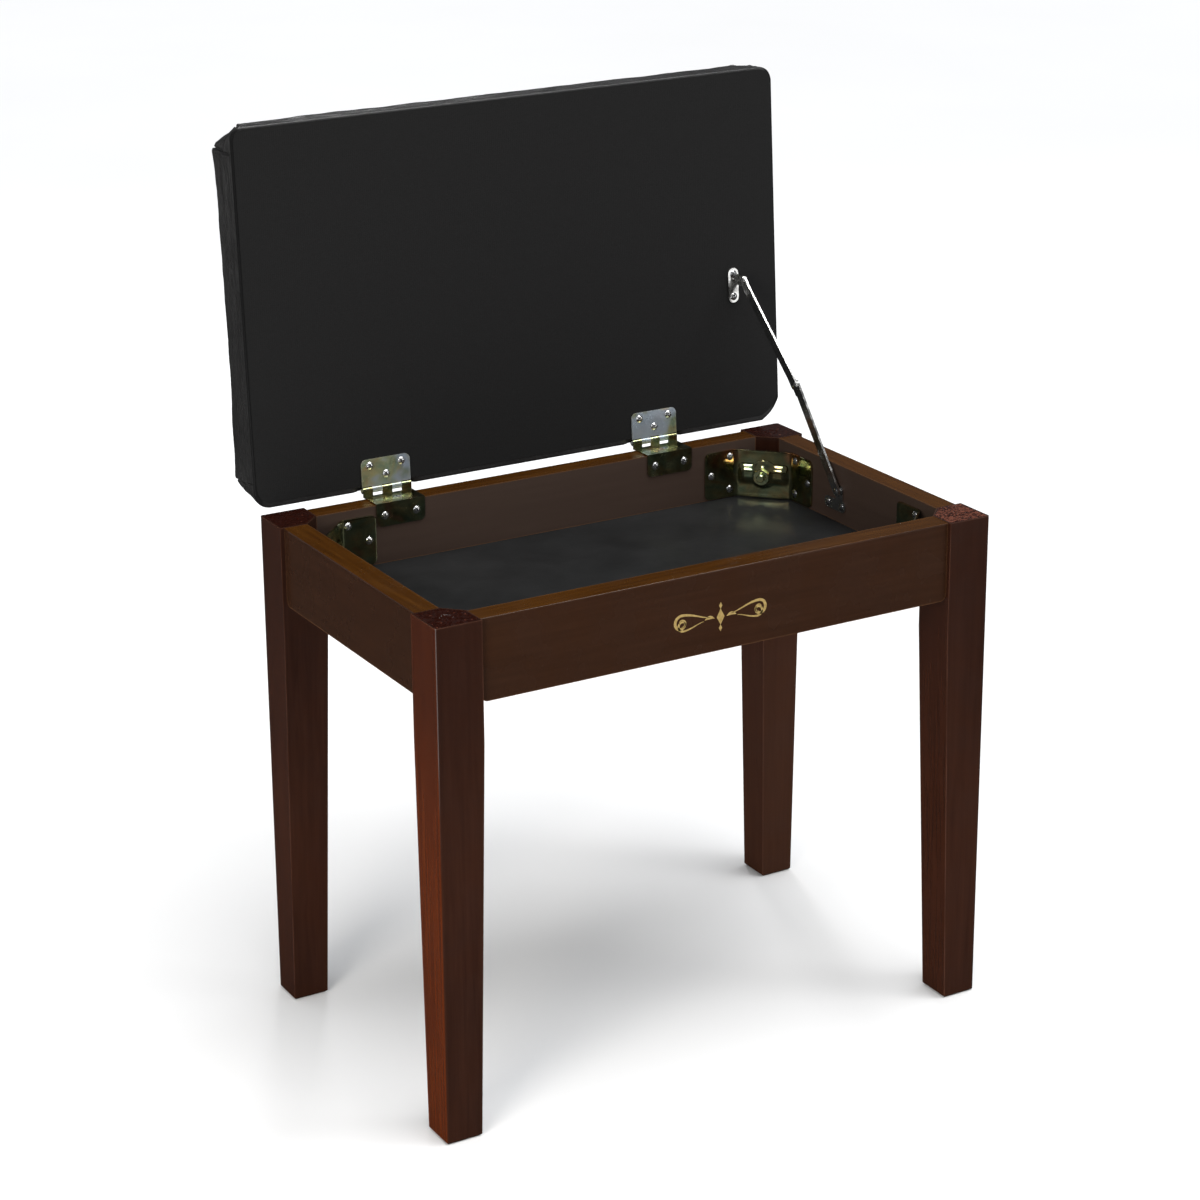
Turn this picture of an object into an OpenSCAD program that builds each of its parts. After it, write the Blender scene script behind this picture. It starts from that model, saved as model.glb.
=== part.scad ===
/* [Frame] */
// Width of the frame over the outer faces of the legs
frame_w = 542; // [480:1:720]
// Depth of the frame over the outer faces of the legs
frame_d = 332; // [300:1:380]
// Height of the legs from the floor
leg_h = 456; // [400:1:520]
// Leg section at the top
leg_top = 42; // [36:1:55]
// Leg section at the foot
leg_foot = 33; // [26:1:42]
// Height at which the taper of the leg starts
taper_z = 350; // [250:5:380]
// Radius on the outer upright edge of a leg
leg_edge_r = 2.5; // [1:0.5:4]
// Bevel around the foot of a leg
foot_bevel = 2; // [1:0.5:4]

/* [Rails] */
// Rail thickness
rail_t = 22; // [16:1:26]
// Rail height
rail_h = 71; // [60:1:95]
// How far a rail sits back from the leg face
rail_in = 4; // [2:0.5:10]
// How far the leg stands above the rail
leg_proud = 0.5; // [0.5:0.5:4]
// Radius on the outer top edge of a rail
rail_edge_r = 1.5; // [1:0.5:3]
// Radius on the lower end corners of a rail
rail_end_r = 6; // [3:1:10]
// Bottom panel thickness
panel_t = 4; // [3:0.5:6]
// Depth of the compartment below the rail top
panel_drop = 55; // [40:1:60]
// Depth of the panel groove in a rail
groove = 8; // [5:1:10]

/* [Corner brackets] */
// Sheet thickness of a corner bracket
bracket_t = 1.6; // [1.2:0.1:2.5]
// Bracket height
bracket_h = 46; // [40:1:50]
// Length of a bracket flange along the rail
flange_len = 34; // [30:1:40]
// Distance from the inner corner to a bracket fold
fold_in = 39; // [34:1:44]
// Gap between the rail top and the bracket
bracket_drop = 8; // [5:1:12]
// Height of the pressed rib on the diagonal web
rib_h = 20; // [14:1:24]
// How far the rib stands out
rib_out = 3; // [2:0.5:4]
// Diameter of the hanger bolt
bolt_d = 8; // [6:1:10]
// Nut size across the flats
nut_af = 14; // [10:1:17]
// Nut height
nut_h = 6.5; // [5:0.5:8]

/* [Hinges] */
// Hinge width
hinge_w = 48; // [40:1:60]
// Middle of the left hinge from the bench centre
hinge_left = 147; // [110:1:180]
// Middle of the right hinge from the bench centre
hinge_right = 133; // [110:1:180]
// Hinge sheet thickness
hinge_t = 1.2; // [1:0.1:2]
// Outer diameter of a hinge knuckle
knuckle_d = 6; // [5:0.5:8]
// Hinge pin diameter
pin_d = 3; // [2.5:0.5:4]
// Pin position behind the back of the legs
pin_back = 1.5; // [0:0.5:4]
// Pin height above the rail top
pin_up = 5.8; // [5:0.1:8]
// Lean of the open lid past upright
lean = 3.6; // [0:0.1:8]

/* [Seat] */
// Seat width
seat_w = 548; // [490:1:740]
// Seat depth
seat_d = 333; // [300:1:390]
// Seat thickness
seat_t = 50; // [35:1:65]
// Corner radius of the seat in plan
seat_r = 18; // [16:1:30]
// Radius on the padded upper edge
seat_edge_r = 13; // [8:1:15]
// Thickness of the seat board
board_t = 12; // [9:1:18]
// Thickness of the seat cover
cover_t = 1.2; // [0.8:0.1:2]
// Thickness of the cloth under the seat
cloth_t = 0.6; // [0.4:0.1:1]
// Gap between the pin and the back edge of the seat
seat_gap = 3.5; // [3.2:0.1:6]

/* [Lid stay] */
// Width of a stay arm
arm_w = 9; // [7:0.5:14]
// Thickness of a stay arm
arm_t = 2; // [1.5:0.1:3]
// Distance of the lower pivot in front of the inner back face
stay_y = 118; // [100:1:130]
// Depth of the lower pivot below the rail top
stay_z = 24; // [18:1:30]
// Distance of the upper pivot from the hinge pin
lid_u = 140; // [120:1:160]
// Distance of the upper pivot from the hinge plane
lid_v = 8.5; // [7:0.5:12]
// How much longer the upper arm is than the lower arm
arm_extra = 6; // [2:1:12]

/* [Hidden] */

$fn = 48;
eps = 0.01;
fit = 0.05;
rail_top = leg_h - leg_proud;
leg_x = frame_w / 2;
leg_y = frame_d / 2;
in_x = leg_x - rail_in - rail_t;
in_y = leg_y - rail_in - rail_t;
out_y = leg_y - rail_in;
cut = leg_top - rail_in - rail_t;
panel_z = rail_top - panel_drop;
pin_y = leg_y + pin_back;
pin_z = rail_top + pin_up;
// origin of the part: middle of the footprint of the open bench
seat_under = 0.5;
round_u = seat_gap + seat_d - seat_edge_r;
round_v = seat_t - seat_under - seat_edge_r;
top_y = pin_y + round_u * sin(lean) + round_v * cos(lean) + seat_edge_r;
mid_y = (top_y - leg_y) / 2;

// screws
shank_r = 1.9;
head_r = 3.6;
head_h = 1.8;
seat_screw = 10;
rail_screw = 15;

// bracket screw places, from the fold and from the bracket top
screw_fold = 6.5;
screw_tip = 27;
screw_high = 6.5;
screw_low = 38.5;
web_len = fold_in * sqrt(2);
web_off = fold_in / sqrt(2);
chamfer_off = cut / sqrt(2);
bracket_top = rail_top - bracket_drop;
rib_r = (rib_h * rib_h / 4 + rib_out * rib_out) / (2 * rib_out);
dome_r = 13;
dome_out = 5;
ball_r = (dome_r * dome_r + dome_out * dome_out) / (2 * dome_out);
seat_dip = ball_r - sqrt(ball_r * ball_r - pow(bolt_d / 2 + 0.4, 2));
bolt_z = bracket_top - bracket_h / 2;
bolt_in = 26;
bolt_tip = 4;

// hinge
knuckles = 5;
leaf_lid_len = 28;
leaf_drop = 20.5;
hinge_screw_x = 15.6;
lid_screw_high = 22;
lid_screw_low = 12.5;
rail_screw_drop = 10.5;
flange_screw_y = in_y + 11;
knuckle_r = knuckle_d / 2;

// stay
plate_t = 1.5;
plate_len = 33;
plate_w = 11;
plate_screw = 10.8;
plate_shift = 5;
stay_fy = in_y - stay_y;
stay_fz = rail_top - stay_z;
low_x1 = in_x - plate_t - 2;
low_x0 = low_x1 - arm_t;
up_x1 = low_x0 - 0.3;
up_x0 = up_x1 - arm_t;
arm_slant = 6.5;
tip_x1 = up_x1 - arm_slant;
tip_x0 = tip_x1 - arm_t;
tab_x1 = tip_x0 - 0.3;
rivet_r = 1.6;
rivet_head_r = 3.4;
tab_r = 5;
rail_plate_y = 6.8;
rail_plate_z = 14.4;
stay_ly = pin_y + lid_u * sin(lean) - lid_v * cos(lean);
stay_lz = pin_z + lid_u * cos(lean) + lid_v * sin(lean);
span = sqrt(pow(stay_ly - stay_fy, 2) + pow(stay_lz - stay_fz, 2));
lock = 0.15;
arm_low = (span + lock - arm_extra) / 2;
arm_up = (span + lock + arm_extra) / 2;
span_ang = atan2(stay_lz - stay_fz, stay_ly - stay_fy);
low_bend = acos((arm_low * arm_low + span * span - arm_up * arm_up) / (2 * arm_low * span));
up_bend = acos((arm_up * arm_up + span * span - arm_low * arm_low) / (2 * arm_up * span));
low_ang = span_ang + low_bend;
up_ang = span_ang - up_bend;

// everything is drawn around the middle of the frame, then shifted
module placed() {
  translate([0, -mid_y, 0]) children();
}

// puts a shape drawn for the front-left corner at one of the corners
module corner(sx, sy) {
  flip([sx, 0, 0]) flip([0, sy, 0]) children();
}

// mirrors along v, or leaves the shape alone when v is negative
module flip(v) {
  if (v.x + v.y + v.z > 0) mirror(v) children();
  else children();
}

module all_corners() {
  for (sx = [-1, 1])
    for (sy = [-1, 1])
      corner(sx, sy) children();
}

// square with one rounded corner at the origin
module eased_square(w, h, r) {
  difference() {
    square([w, h]);
    translate([-eps, -eps]) square([r + eps, r + eps]);
  }
  translate([r, r]) circle(r);
}

module round_rect(w, h, r) {
  square([w - 2 * r, h], center = true);
  square([w, h - 2 * r], center = true);
  for (x = [-1, 1])
    for (y = [-1, 1])
      translate([x * (w / 2 - r), y * (h / 2 - r)]) circle(r);
}

// pan-head screw, head up, underside of the head at z = 0
module screw(shank) {
  ball = (head_r * head_r + head_h * head_h) / (2 * head_h);
  difference() {
    intersection() {
      translate([0, 0, head_h - ball]) sphere(ball);
      cylinder(h = head_h + 1, r = head_r);
    }
    cross_recess();
  }
  translate([0, 0, -shank + 3]) cylinder(h = shank - 3 + eps, r = shank_r);
  translate([0, 0, -shank]) cylinder(h = 3 + eps, r1 = 0.4, r2 = shank_r);
}

module cross_recess() {
  for (a = [0, 90])
    rotate([0, 0, a])
      translate([-1.9, -0.45, head_h - 1.1]) cube([3.8, 0.9, 2]);
}

// countersunk screw, top of the head at z = 0
module flat_screw(shank) {
  difference() {
    union() {
      translate([0, 0, -1.1]) cylinder(h = 1.1, r1 = shank_r + 0.3, r2 = 3);
      translate([0, 0, -shank + 3]) cylinder(h = shank - 4, r = shank_r);
      translate([0, 0, -shank]) cylinder(h = 3 + eps, r1 = 0.4, r2 = shank_r);
    }
    translate([0, 0, -head_h + 0.3]) cross_recess();
  }
}

module screw_hole(shank) {
  translate([0, 0, -shank - 0.5]) cylinder(h = shank + 5, r = shank_r + fit);
}

// leg of the front-left corner
module leg_body() {
  step = leg_top - leg_foot;
  b = foot_bevel;
  side = [[b, 0], [leg_foot - b, 0], [leg_foot, b], [leg_top, taper_z],
          [leg_top, leg_h], [0, leg_h], [0, b]];
  translate([-leg_x, -leg_y, 0])
    difference() {
      intersection() {
        linear_extrude(leg_h) eased_square(leg_top, leg_top, leg_edge_r);
        translate([0, leg_top, 0]) rotate([90, 0, 0]) linear_extrude(leg_top) polygon(side);
        rotate([90, 0, 90]) linear_extrude(leg_top) polygon(side);
      }
      translate([0, 0, rail_top - rail_h])
        linear_extrude(rail_h + step)
          polygon([[leg_top - cut, leg_top + 1], [leg_top + 1, leg_top + 1],
                   [leg_top + 1, leg_top - cut], [leg_top, leg_top - cut],
                   [leg_top - cut, leg_top]]);
    }
}

module leg(sx, sy) {
  color([0.24, 0.09, 0.06])
    placed()
      corner(sx, sy)
        difference() {
          leg_body();
          bolt_axis() translate([0, 0, -bolt_in - fit]) cylinder(h = bolt_in + 5, r = bolt_d / 2 + fit);
        }
}

// local z runs from the bevelled leg face towards the compartment
module bolt_axis() {
  translate([-in_x, -in_y, bolt_z])
    rotate([0, 0, 45])
      rotate([0, 90, 0])
        translate([0, 0, chamfer_off])
          children();
}

// rail along X between two legs, outer face at y = 0, top at z = 0
module rail_body(length) {
  intersection() {
    translate([-length / 2, 0, 0])
      rotate([90, 0, 90])
        linear_extrude(length)
          translate([0, -rail_h])
            difference() {
              translate([0, rail_h]) mirror([0, 1]) eased_square(rail_t, rail_h, rail_edge_r);
              translate([rail_t - groove, rail_h - panel_drop - panel_t - fit])
                square([groove + 1, panel_t + 2 * fit]);
            }
    translate([0, rail_t + 1, 0])
      rotate([90, 0, 0])
        linear_extrude(rail_t + 2) {
          translate([-length / 2, rail_end_r - rail_h]) square([length, rail_h]);
          translate([rail_end_r - length / 2, -rail_h]) square([length - 2 * rail_end_r, rail_h]);
          for (x = [-1, 1])
            translate([x * (length / 2 - rail_end_r), rail_end_r - rail_h]) circle(rail_end_r);
        }
  }
}

module rail_x() {
  translate([0, -leg_y + rail_in, rail_top]) rail_body(frame_w - 2 * leg_top);
}

module rail_y() {
  rotate([0, 0, -90])
    translate([0, -leg_x + rail_in, rail_top])
      rail_body(frame_d - 2 * leg_top);
}

module bracket_holes() {
  all_corners() bracket_screw_places() screw_hole(rail_screw);
}

module rail_front() {
  color([0.25, 0.13, 0.08])
    placed()
      difference() {
        rail_x();
        bracket_holes();
      }
}

module rail_back() {
  color([0.25, 0.13, 0.08])
    placed()
      difference() {
        rotate([0, 0, 180]) rail_x();
        bracket_holes();
        hinge_rail_places() screw_hole(rail_screw);
        hinge_top_places() screw_hole(rail_screw);
      }
}

module rail_left() {
  color([0.25, 0.13, 0.08])
    placed()
      difference() {
        rail_y();
        bracket_holes();
      }
}

module rail_right() {
  color([0.25, 0.13, 0.08])
    placed()
      difference() {
        rotate([0, 0, 180]) rail_y();
        bracket_holes();
        stay_frame_screw_places() screw_hole(rail_screw);
      }
}

module bottom_panel() {
  px = in_x + groove - 0.5;
  py = in_y + groove - 0.5;
  k = in_x + in_y - cut - 0.5;
  color([0.05, 0.05, 0.05])
    placed()
      translate([0, 0, panel_z - panel_t])
        linear_extrude(panel_t)
          polygon([[px, k - px], [k - py, py], [py - k, py], [-px, k - px],
                   [-px, px - k], [py - k, -py], [k - py, -py], [px, px - k]]);
}

// two flanges and the diagonal web of the front-left bracket, seen from above
module bracket_plan() {
  t = bracket_t;
  bend = t * tan(22.5);
  polygon([[-in_x, -in_y + fold_in + flange_len], [-in_x, -in_y + fold_in],
           [-in_x + fold_in, -in_y], [-in_x + fold_in + flange_len, -in_y],
           [-in_x + fold_in + flange_len, -in_y + t], [-in_x + fold_in + bend, -in_y + t],
           [-in_x + t, -in_y + fold_in + bend], [-in_x + t, -in_y + fold_in + flange_len]]);
}

// local z from the back of the web towards the compartment, local y along the web
module web_axis() {
  translate([-in_x, -in_y, bolt_z])
    rotate([0, 0, 45])
      rotate([0, 90, 0])
        translate([0, 0, web_off])
          children();
}

module rib_form(r, out, length) {
  intersection() {
    translate([0, -length / 2, out - r]) rotate([-90, 0, 0]) cylinder(h = length, r = r);
    translate([-rib_h, -length / 2, -eps]) cube([2 * rib_h, length, 2 * rib_h]);
  }
}

module dome_form(r, out) {
  intersection() {
    translate([0, 0, out - r]) sphere(r);
    translate([-2 * dome_r, -2 * dome_r, -eps]) cube(4 * dome_r);
  }
}

module bracket_body() {
  t = bracket_t;
  tip = fold_in + flange_len;
  difference() {
    union() {
      translate([0, 0, bracket_top - bracket_h]) linear_extrude(bracket_h) bracket_plan();
      web_axis() {
        rib_form(rib_r, t + rib_out, web_len - 8);
        dome_form(ball_r, t + dome_out);
      }
    }
    web_axis() {
      translate([0, 0, -t]) rib_form(rib_r, t + rib_out, web_len - 8 - 2 * t);
      translate([0, 0, -t]) dome_form(ball_r, t + dome_out);
      cylinder(h = 30, r = bolt_d / 2 + 0.4, center = true);
    }
    bracket_screw_places() cylinder(h = 20, r = shank_r + 0.2, center = true);
    translate([-in_x + tip, -in_y, bracket_top]) flange_round();
    translate([-in_x, -in_y + tip, bracket_top]) mirror([1, -1, 0]) flange_round();
  }
}

// trims the two end corners of a flange that runs along X
module flange_round() {
  r = 7;
  for (z = [-1, 1])
    translate([0, 0, (-1 - z) / 2 * bracket_h])
      flip([0, 0, z])
        translate([-r, bracket_t + 1, -r])
          rotate([90, 0, 0])
            linear_extrude(bracket_t + 2)
              difference() {
                square(r + 1);
                circle(r);
              }
}

// screw axes of the front-left bracket, heads towards the compartment
module bracket_screw_places() {
  for (m = [0, 1])
    swap(m)
      for (p = [[screw_fold, screw_high], [screw_fold, screw_low], [screw_tip, bracket_h / 2]])
        translate([(m == 0 ? -in_x : -in_y) + fold_in + p[0],
                   (m == 0 ? -in_y : -in_x) + bracket_t, bracket_top - p[1]])
          rotate([-90, 0, 0])
            children();
}

// swaps the X and Y axes when m is 1
module swap(m) {
  if (m == 0) children();
  if (m == 1) mirror([1, -1, 0]) children();
}

module bracket(sx, sy) {
  color([0.72, 0.62, 0.32])
    placed()
      corner(sx, sy)
        bracket_body();
}

module bracket_screws() {
  color([0.80, 0.80, 0.78])
    placed()
      all_corners()
        bracket_screw_places()
          screw(rail_screw);
}

module hanger_bolts() {
  reach = web_off - chamfer_off + bracket_t + dome_out + nut_h + bolt_tip;
  color([0.70, 0.62, 0.38])
    placed()
      all_corners()
        bolt_axis() {
          translate([0, 0, -bolt_in + 5]) cylinder(h = reach + bolt_in - 6, r = bolt_d / 2);
          translate([0, 0, -bolt_in]) cylinder(h = 5 + eps, r1 = 0.6, r2 = bolt_d / 2);
          translate([0, 0, reach - 1 - eps]) cylinder(h = 1, r1 = bolt_d / 2, r2 = bolt_d / 2 - 0.9);
        }
}

module bolt_nuts() {
  base = web_off - chamfer_off + bracket_t + dome_out - seat_dip + 0.02;
  color([0.72, 0.62, 0.32])
    placed()
      all_corners()
        bolt_axis()
          translate([0, 0, base])
            difference() {
              intersection() {
                cylinder(h = nut_h, r = nut_af / sqrt(3), $fn = 6);
                cylinder(h = nut_h, r1 = nut_af / 2 + 3, r2 = nut_af / 2 + 0.2);
              }
              translate([0, 0, -1]) cylinder(h = nut_h + 2, r = bolt_d / 2 + fit);
            }
}

// knuckle slots run along X from the left end of the hinge
module knuckle_slots(first) {
  w = hinge_w / knuckles;
  for (i = [first : 2 : knuckles - 1])
    translate([i * w - hinge_w / 2 + 0.1, 0, 0])
      children();
}

module hinge_places() {
  for (x = [-hinge_left, hinge_right])
    translate([x, 0, 0]) children();
}

module frame_leaf_plan() {
  y0 = in_y - hinge_t;
  translate([-hinge_w / 2, 0, 0])
    rotate([90, 0, 90])
      linear_extrude(hinge_w)
        polygon([[y0, rail_top - leaf_drop], [in_y, rail_top - leaf_drop], [in_y, rail_top],
                 [pin_y - knuckle_r - 0.6, rail_top], [pin_y - knuckle_r - 0.6, rail_top + hinge_t],
                 [y0, rail_top + hinge_t]]);
  knuckle_slots(0)
    rotate([90, 0, 90])
      linear_extrude(hinge_w / knuckles - 0.2) {
        translate([pin_y - knuckle_r - 0.7, rail_top])
          square([hinge_t + 0.7, hinge_t]);
        translate([pin_y - knuckle_r, rail_top])
          square([hinge_t, pin_up]);
        translate([pin_y, pin_z]) circle(knuckle_r);
      }
}

module hinge_frame_leaf() {
  r = 5;
  color([0.74, 0.64, 0.34])
    placed()
      difference() {
        frame_leaf_plan();
        translate([-hinge_w, pin_y, pin_z]) rotate([0, 90, 0]) cylinder(h = 2 * hinge_w, r = pin_d / 2 + 0.02);
        for (m = [-1, 1])
          flip([m, 0, 0])
            translate([hinge_w / 2 - r, in_y + 1, rail_top - leaf_drop + r])
              rotate([90, 0, 0])
                linear_extrude(hinge_t + 2)
                  difference() {
                    translate([0, -r - 1]) square([r + 1, r + 1]);
                    circle(r);
                  }
        for (x = [-1, 1])
          translate([x * hinge_screw_x, in_y, rail_top - rail_screw_drop])
            rotate([90, 0, 0])
              cylinder(h = 10, r = shank_r + 0.2, center = true);
        translate([3, flange_screw_y, rail_top])
          cylinder(h = 10, r = 3.05, center = true);
      }
}

module hinge_frame_leaf_l() {
  translate([-hinge_left, 0, 0]) hinge_frame_leaf();
}

module hinge_frame_leaf_r() {
  translate([hinge_right, 0, 0]) hinge_frame_leaf();
}

// the lid is drawn closed, with the pin at the origin, then swung open
module open_lid() {
  placed()
    translate([0, pin_y, pin_z])
      rotate([-90 - lean, 0, 0])
        children();
}

module hinge_lid_leaf() {
  z0 = -seat_under - hinge_t;
  r = 5;
  color([0.74, 0.64, 0.34])
    open_lid()
      difference() {
        union() {
          translate([-hinge_w / 2, -leaf_lid_len, z0])
            cube([hinge_w, leaf_lid_len - knuckle_r - 0.4, hinge_t]);
          knuckle_slots(1) {
            translate([0, -knuckle_r - 0.5, z0]) cube([hinge_w / knuckles - 0.2, knuckle_r + 0.5, hinge_t]);
            rotate([0, 90, 0]) cylinder(h = hinge_w / knuckles - 0.2, r = knuckle_r);
          }
        }
        translate([-hinge_w, 0, 0]) rotate([0, 90, 0]) cylinder(h = 2 * hinge_w, r = pin_d / 2 + 0.05);
        for (m = [-1, 1])
          flip([m, 0, 0])
            translate([hinge_w / 2 - r, -leaf_lid_len + r, z0 - 1])
              linear_extrude(hinge_t + 2)
                difference() {
                  translate([0, -r - 1]) square([r + 1, r + 1]);
                  circle(r);
                }
        lid_screw_points() cylinder(h = 20, r = shank_r + 0.2, center = true);
      }
}

module hinge_lid_leaf_l() {
  translate([-hinge_left, 0, 0]) hinge_lid_leaf();
}

module hinge_lid_leaf_r() {
  translate([hinge_right, 0, 0]) hinge_lid_leaf();
}

module hinge_pins() {
  color([0.74, 0.64, 0.34])
    placed()
      hinge_places()
        translate([-hinge_w / 2 - 0.4, pin_y, pin_z])
          rotate([0, 90, 0])
            cylinder(h = hinge_w + 0.8, r = pin_d / 2);
}

// screw axes of one lid leaf, heads down in the closed drawing
module lid_screw_points() {
  for (p = [[-hinge_screw_x, lid_screw_high], [hinge_screw_x, lid_screw_high], [0, lid_screw_low]])
    translate([p[0], -p[1], -seat_under - hinge_t])
      rotate([180, 0, 0])
        children();
}

module hinge_rail_places() {
  hinge_places()
    for (x = [-1, 1])
      translate([x * hinge_screw_x, in_y - hinge_t, rail_top - rail_screw_drop])
        rotate([90, 0, 0])
          children();
}

module hinge_top_places() {
  hinge_places()
    translate([3, flange_screw_y, rail_top + hinge_t])
      children();
}

module hinge_rail_screws() {
  color([0.80, 0.80, 0.78])
    placed()
      hinge_rail_places()
        screw(rail_screw);
}

module hinge_top_screws() {
  color([0.80, 0.80, 0.78])
    placed()
      hinge_top_places()
        flat_screw(rail_screw);
}

module hinge_lid_screws() {
  color([0.80, 0.80, 0.78])
    open_lid()
      hinge_places()
        lid_screw_points()
          screw(seat_screw);
}

// quarter of a disc in the first quadrant
module quarter(r) {
  intersection() {
    circle(r);
    square(r);
  }
}

// padded block with rounded upper edges, underside at z = 0
module pad(w, d, h, r, e) {
  linear_extrude(h - e) round_rect(w, d, r);
  translate([0, 0, h - e]) {
    translate([r - w / 2, e - d / 2, 0]) cube([w - 2 * r, d - 2 * e, e]);
    translate([e - w / 2, r - d / 2, 0]) cube([w - 2 * e, d - 2 * r, e]);
    for (m = [-1, 1]) {
      flip([0, -m, 0])
        translate([r - w / 2, d / 2 - e, 0])
          rotate([90, 0, 90])
            linear_extrude(w - 2 * r)
              quarter(e);
      flip([m, 0, 0])
        translate([e - w / 2, r - d / 2, 0])
          rotate([90, 0, 180])
            linear_extrude(d - 2 * r)
              quarter(e);
      for (n = [-1, 1])
        flip([m, 0, 0])
          flip([0, n, 0])
            translate([r - w / 2, r - d / 2, 0])
              rotate([0, 0, 180])
                rotate_extrude(angle = 90) {
                  square([r - e, e]);
                  translate([r - e, 0]) quarter(e);
                }
    }
  }
}

module seat_place() {
  open_lid()
    translate([0, -seat_gap - seat_d / 2, -seat_under])
      children();
}

module seat_cover() {
  c = cover_t;
  color([0.06, 0.06, 0.06])
    seat_place()
      difference() {
        pad(seat_w, seat_d, seat_t, seat_r, seat_edge_r);
        translate([0, 0, -c]) pad(seat_w - 2 * c, seat_d - 2 * c, seat_t, seat_r - c, seat_edge_r - c);
      }
}

module seat_foam() {
  g = cover_t + 0.06;
  z0 = cloth_t + board_t;
  color([0.85, 0.80, 0.62])
    seat_place()
      intersection() {
        translate([0, 0, -g]) pad(seat_w - 2 * g, seat_d - 2 * g, seat_t, seat_r - g, seat_edge_r - g);
        translate([-seat_w, -seat_d, z0]) cube([2 * seat_w, 2 * seat_d, 2 * seat_t]);
      }
}

module seat_board() {
  g = cover_t + 0.05;
  color([0.45, 0.32, 0.20])
    seat_place()
      difference() {
        translate([0, 0, cloth_t]) linear_extrude(board_t) round_rect(seat_w - 2 * g, seat_d - 2 * g, seat_r - g);
        seat_screw_points() screw_hole(seat_screw);
      }
}

module seat_dust_cloth() {
  g = cover_t + 0.05;
  color([0.08, 0.08, 0.08])
    seat_place()
      difference() {
        linear_extrude(cloth_t) round_rect(seat_w - 2 * g, seat_d - 2 * g, seat_r - g);
        seat_screw_points() screw_hole(seat_screw);
      }
}

// all screws that enter the seat board, in the frame of the seat
module seat_screw_points() {
  translate([0, seat_gap + seat_d / 2, seat_under]) {
    hinge_places() lid_screw_points() children();
    stay_lid_screw_points() children();
  }
}

// strip with round ends from the origin to [length, 0]
module strip(length, w) {
  translate([0, -w / 2]) square([length, w]);
  circle(w / 2);
  translate([length, 0]) circle(w / 2);
}

// stands a shape drawn in the XY plane up in the YZ plane
module upright() {
  rotate([90, 0, 90]) children();
}

module stay_lower_arm() {
  color([0.78, 0.77, 0.74])
    placed()
      translate([low_x0, stay_fy, stay_fz])
        upright()
          rotate([0, 0, low_ang])
            difference() {
              linear_extrude(arm_t) {
                strip(arm_low, arm_w);
                translate([arm_low - 9, -arm_w / 2 - 1.5]) square([9, arm_w / 2]);
              }
              translate([0, 0, -1]) cylinder(h = arm_t + 2, r = rivet_r + 0.05);
              translate([arm_low, 0, -1]) cylinder(h = arm_t + 2, r = rivet_r + 0.02);
            }
}

module stay_upper_arm() {
  flat = 9;
  side = [[-arm_w, 0], [flat, 0], [arm_up - flat, arm_slant], [arm_up + arm_w, arm_slant],
          [arm_up + arm_w, arm_slant + arm_t], [arm_up - flat, arm_slant + arm_t],
          [flat, arm_t], [-arm_w, arm_t]];
  color([0.78, 0.77, 0.74])
    placed()
      translate([tip_x0, stay_ly, stay_lz])
        upright()
          rotate([0, 0, up_ang + 180])
            difference() {
              intersection() {
                translate([0, 0, -1]) linear_extrude(arm_slant + arm_t + 2) strip(arm_up, arm_w);
                translate([0, arm_w, 0])
                  rotate([90, 0, 0])
                    linear_extrude(2 * arm_w)
                      polygon(side);
              }
              translate([0, 0, -1]) cylinder(h = 20, r = rivet_r + 0.05);
              translate([arm_up, 0, -1]) cylinder(h = 20, r = rivet_r + 0.02);
            }
}

// rivet along X from x0 to x1 with heads of the given heights at the ends
module rivet(x0, x1, h0, h1) {
  e0 = h0 > 0 ? eps : 0;
  e1 = h1 > 0 ? eps : 0;
  rotate([0, 90, 0]) {
    translate([0, 0, x0 - e0]) cylinder(h = x1 - x0 + e0 + e1, r = rivet_r);
    if (h0 > 0) translate([0, 0, x0]) rotate([180, 0, 0]) rivet_head(h0);
    if (h1 > 0) translate([0, 0, x1]) rivet_head(h1);
  }
}

module rivet_head(h) {
  ball = (rivet_head_r * rivet_head_r + h * h) / (2 * h);
  intersection() {
    translate([0, 0, h - ball]) sphere(ball);
    cylinder(h = h + 1, r = rivet_head_r);
  }
}

module stay_elbow() {
  translate([0, stay_fy + arm_low * cos(low_ang), stay_fz + arm_low * sin(low_ang)])
    children();
}

module stay_elbow_rivet() {
  color([0.80, 0.79, 0.76])
    placed()
      stay_elbow()
        rivet(low_x0, low_x1, 0, 1);
}

module stay_elbow_cap() {
  color([0.80, 0.79, 0.76])
    placed()
      stay_elbow()
        rivet(up_x0, up_x1, 1.2, 0);
}

module stay_frame_rivet() {
  color([0.80, 0.79, 0.76])
    placed()
      translate([0, stay_fy, stay_fz]) {
        rivet(low_x0 - 0.1, in_x, 1.3, 0);
        translate([low_x1 + 0.1, 0, 0])
          rotate([0, 90, 0])
            cylinder(h = in_x - plate_t - low_x1 - 0.1, r = rivet_head_r);
      }
}

module stay_lid_rivet() {
  color([0.80, 0.79, 0.76])
    placed()
      translate([0, stay_ly, stay_lz])
        rivet(tab_x1 - plate_t, tip_x1 + 0.1, 1.2, 1.2);
}

module stay_frame_plate() {
  px = in_x - plate_t;
  color([0.78, 0.77, 0.74])
    placed()
      difference() {
        translate([px, stay_fy, stay_fz])
          upright()
            linear_extrude(plate_t)
              difference() {
                union() {
                  translate([rail_plate_y, -rail_plate_z]) round_bar(plate_len, plate_w);
                  circle(plate_w / 2);
                  translate([-plate_w / 2, -rail_plate_z]) square([plate_w, rail_plate_z]);
                }
                circle(rivet_r + 0.02);
              }
        stay_frame_screw_places() cylinder(h = 20, r = shank_r + 0.2, center = true);
      }
}

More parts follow.
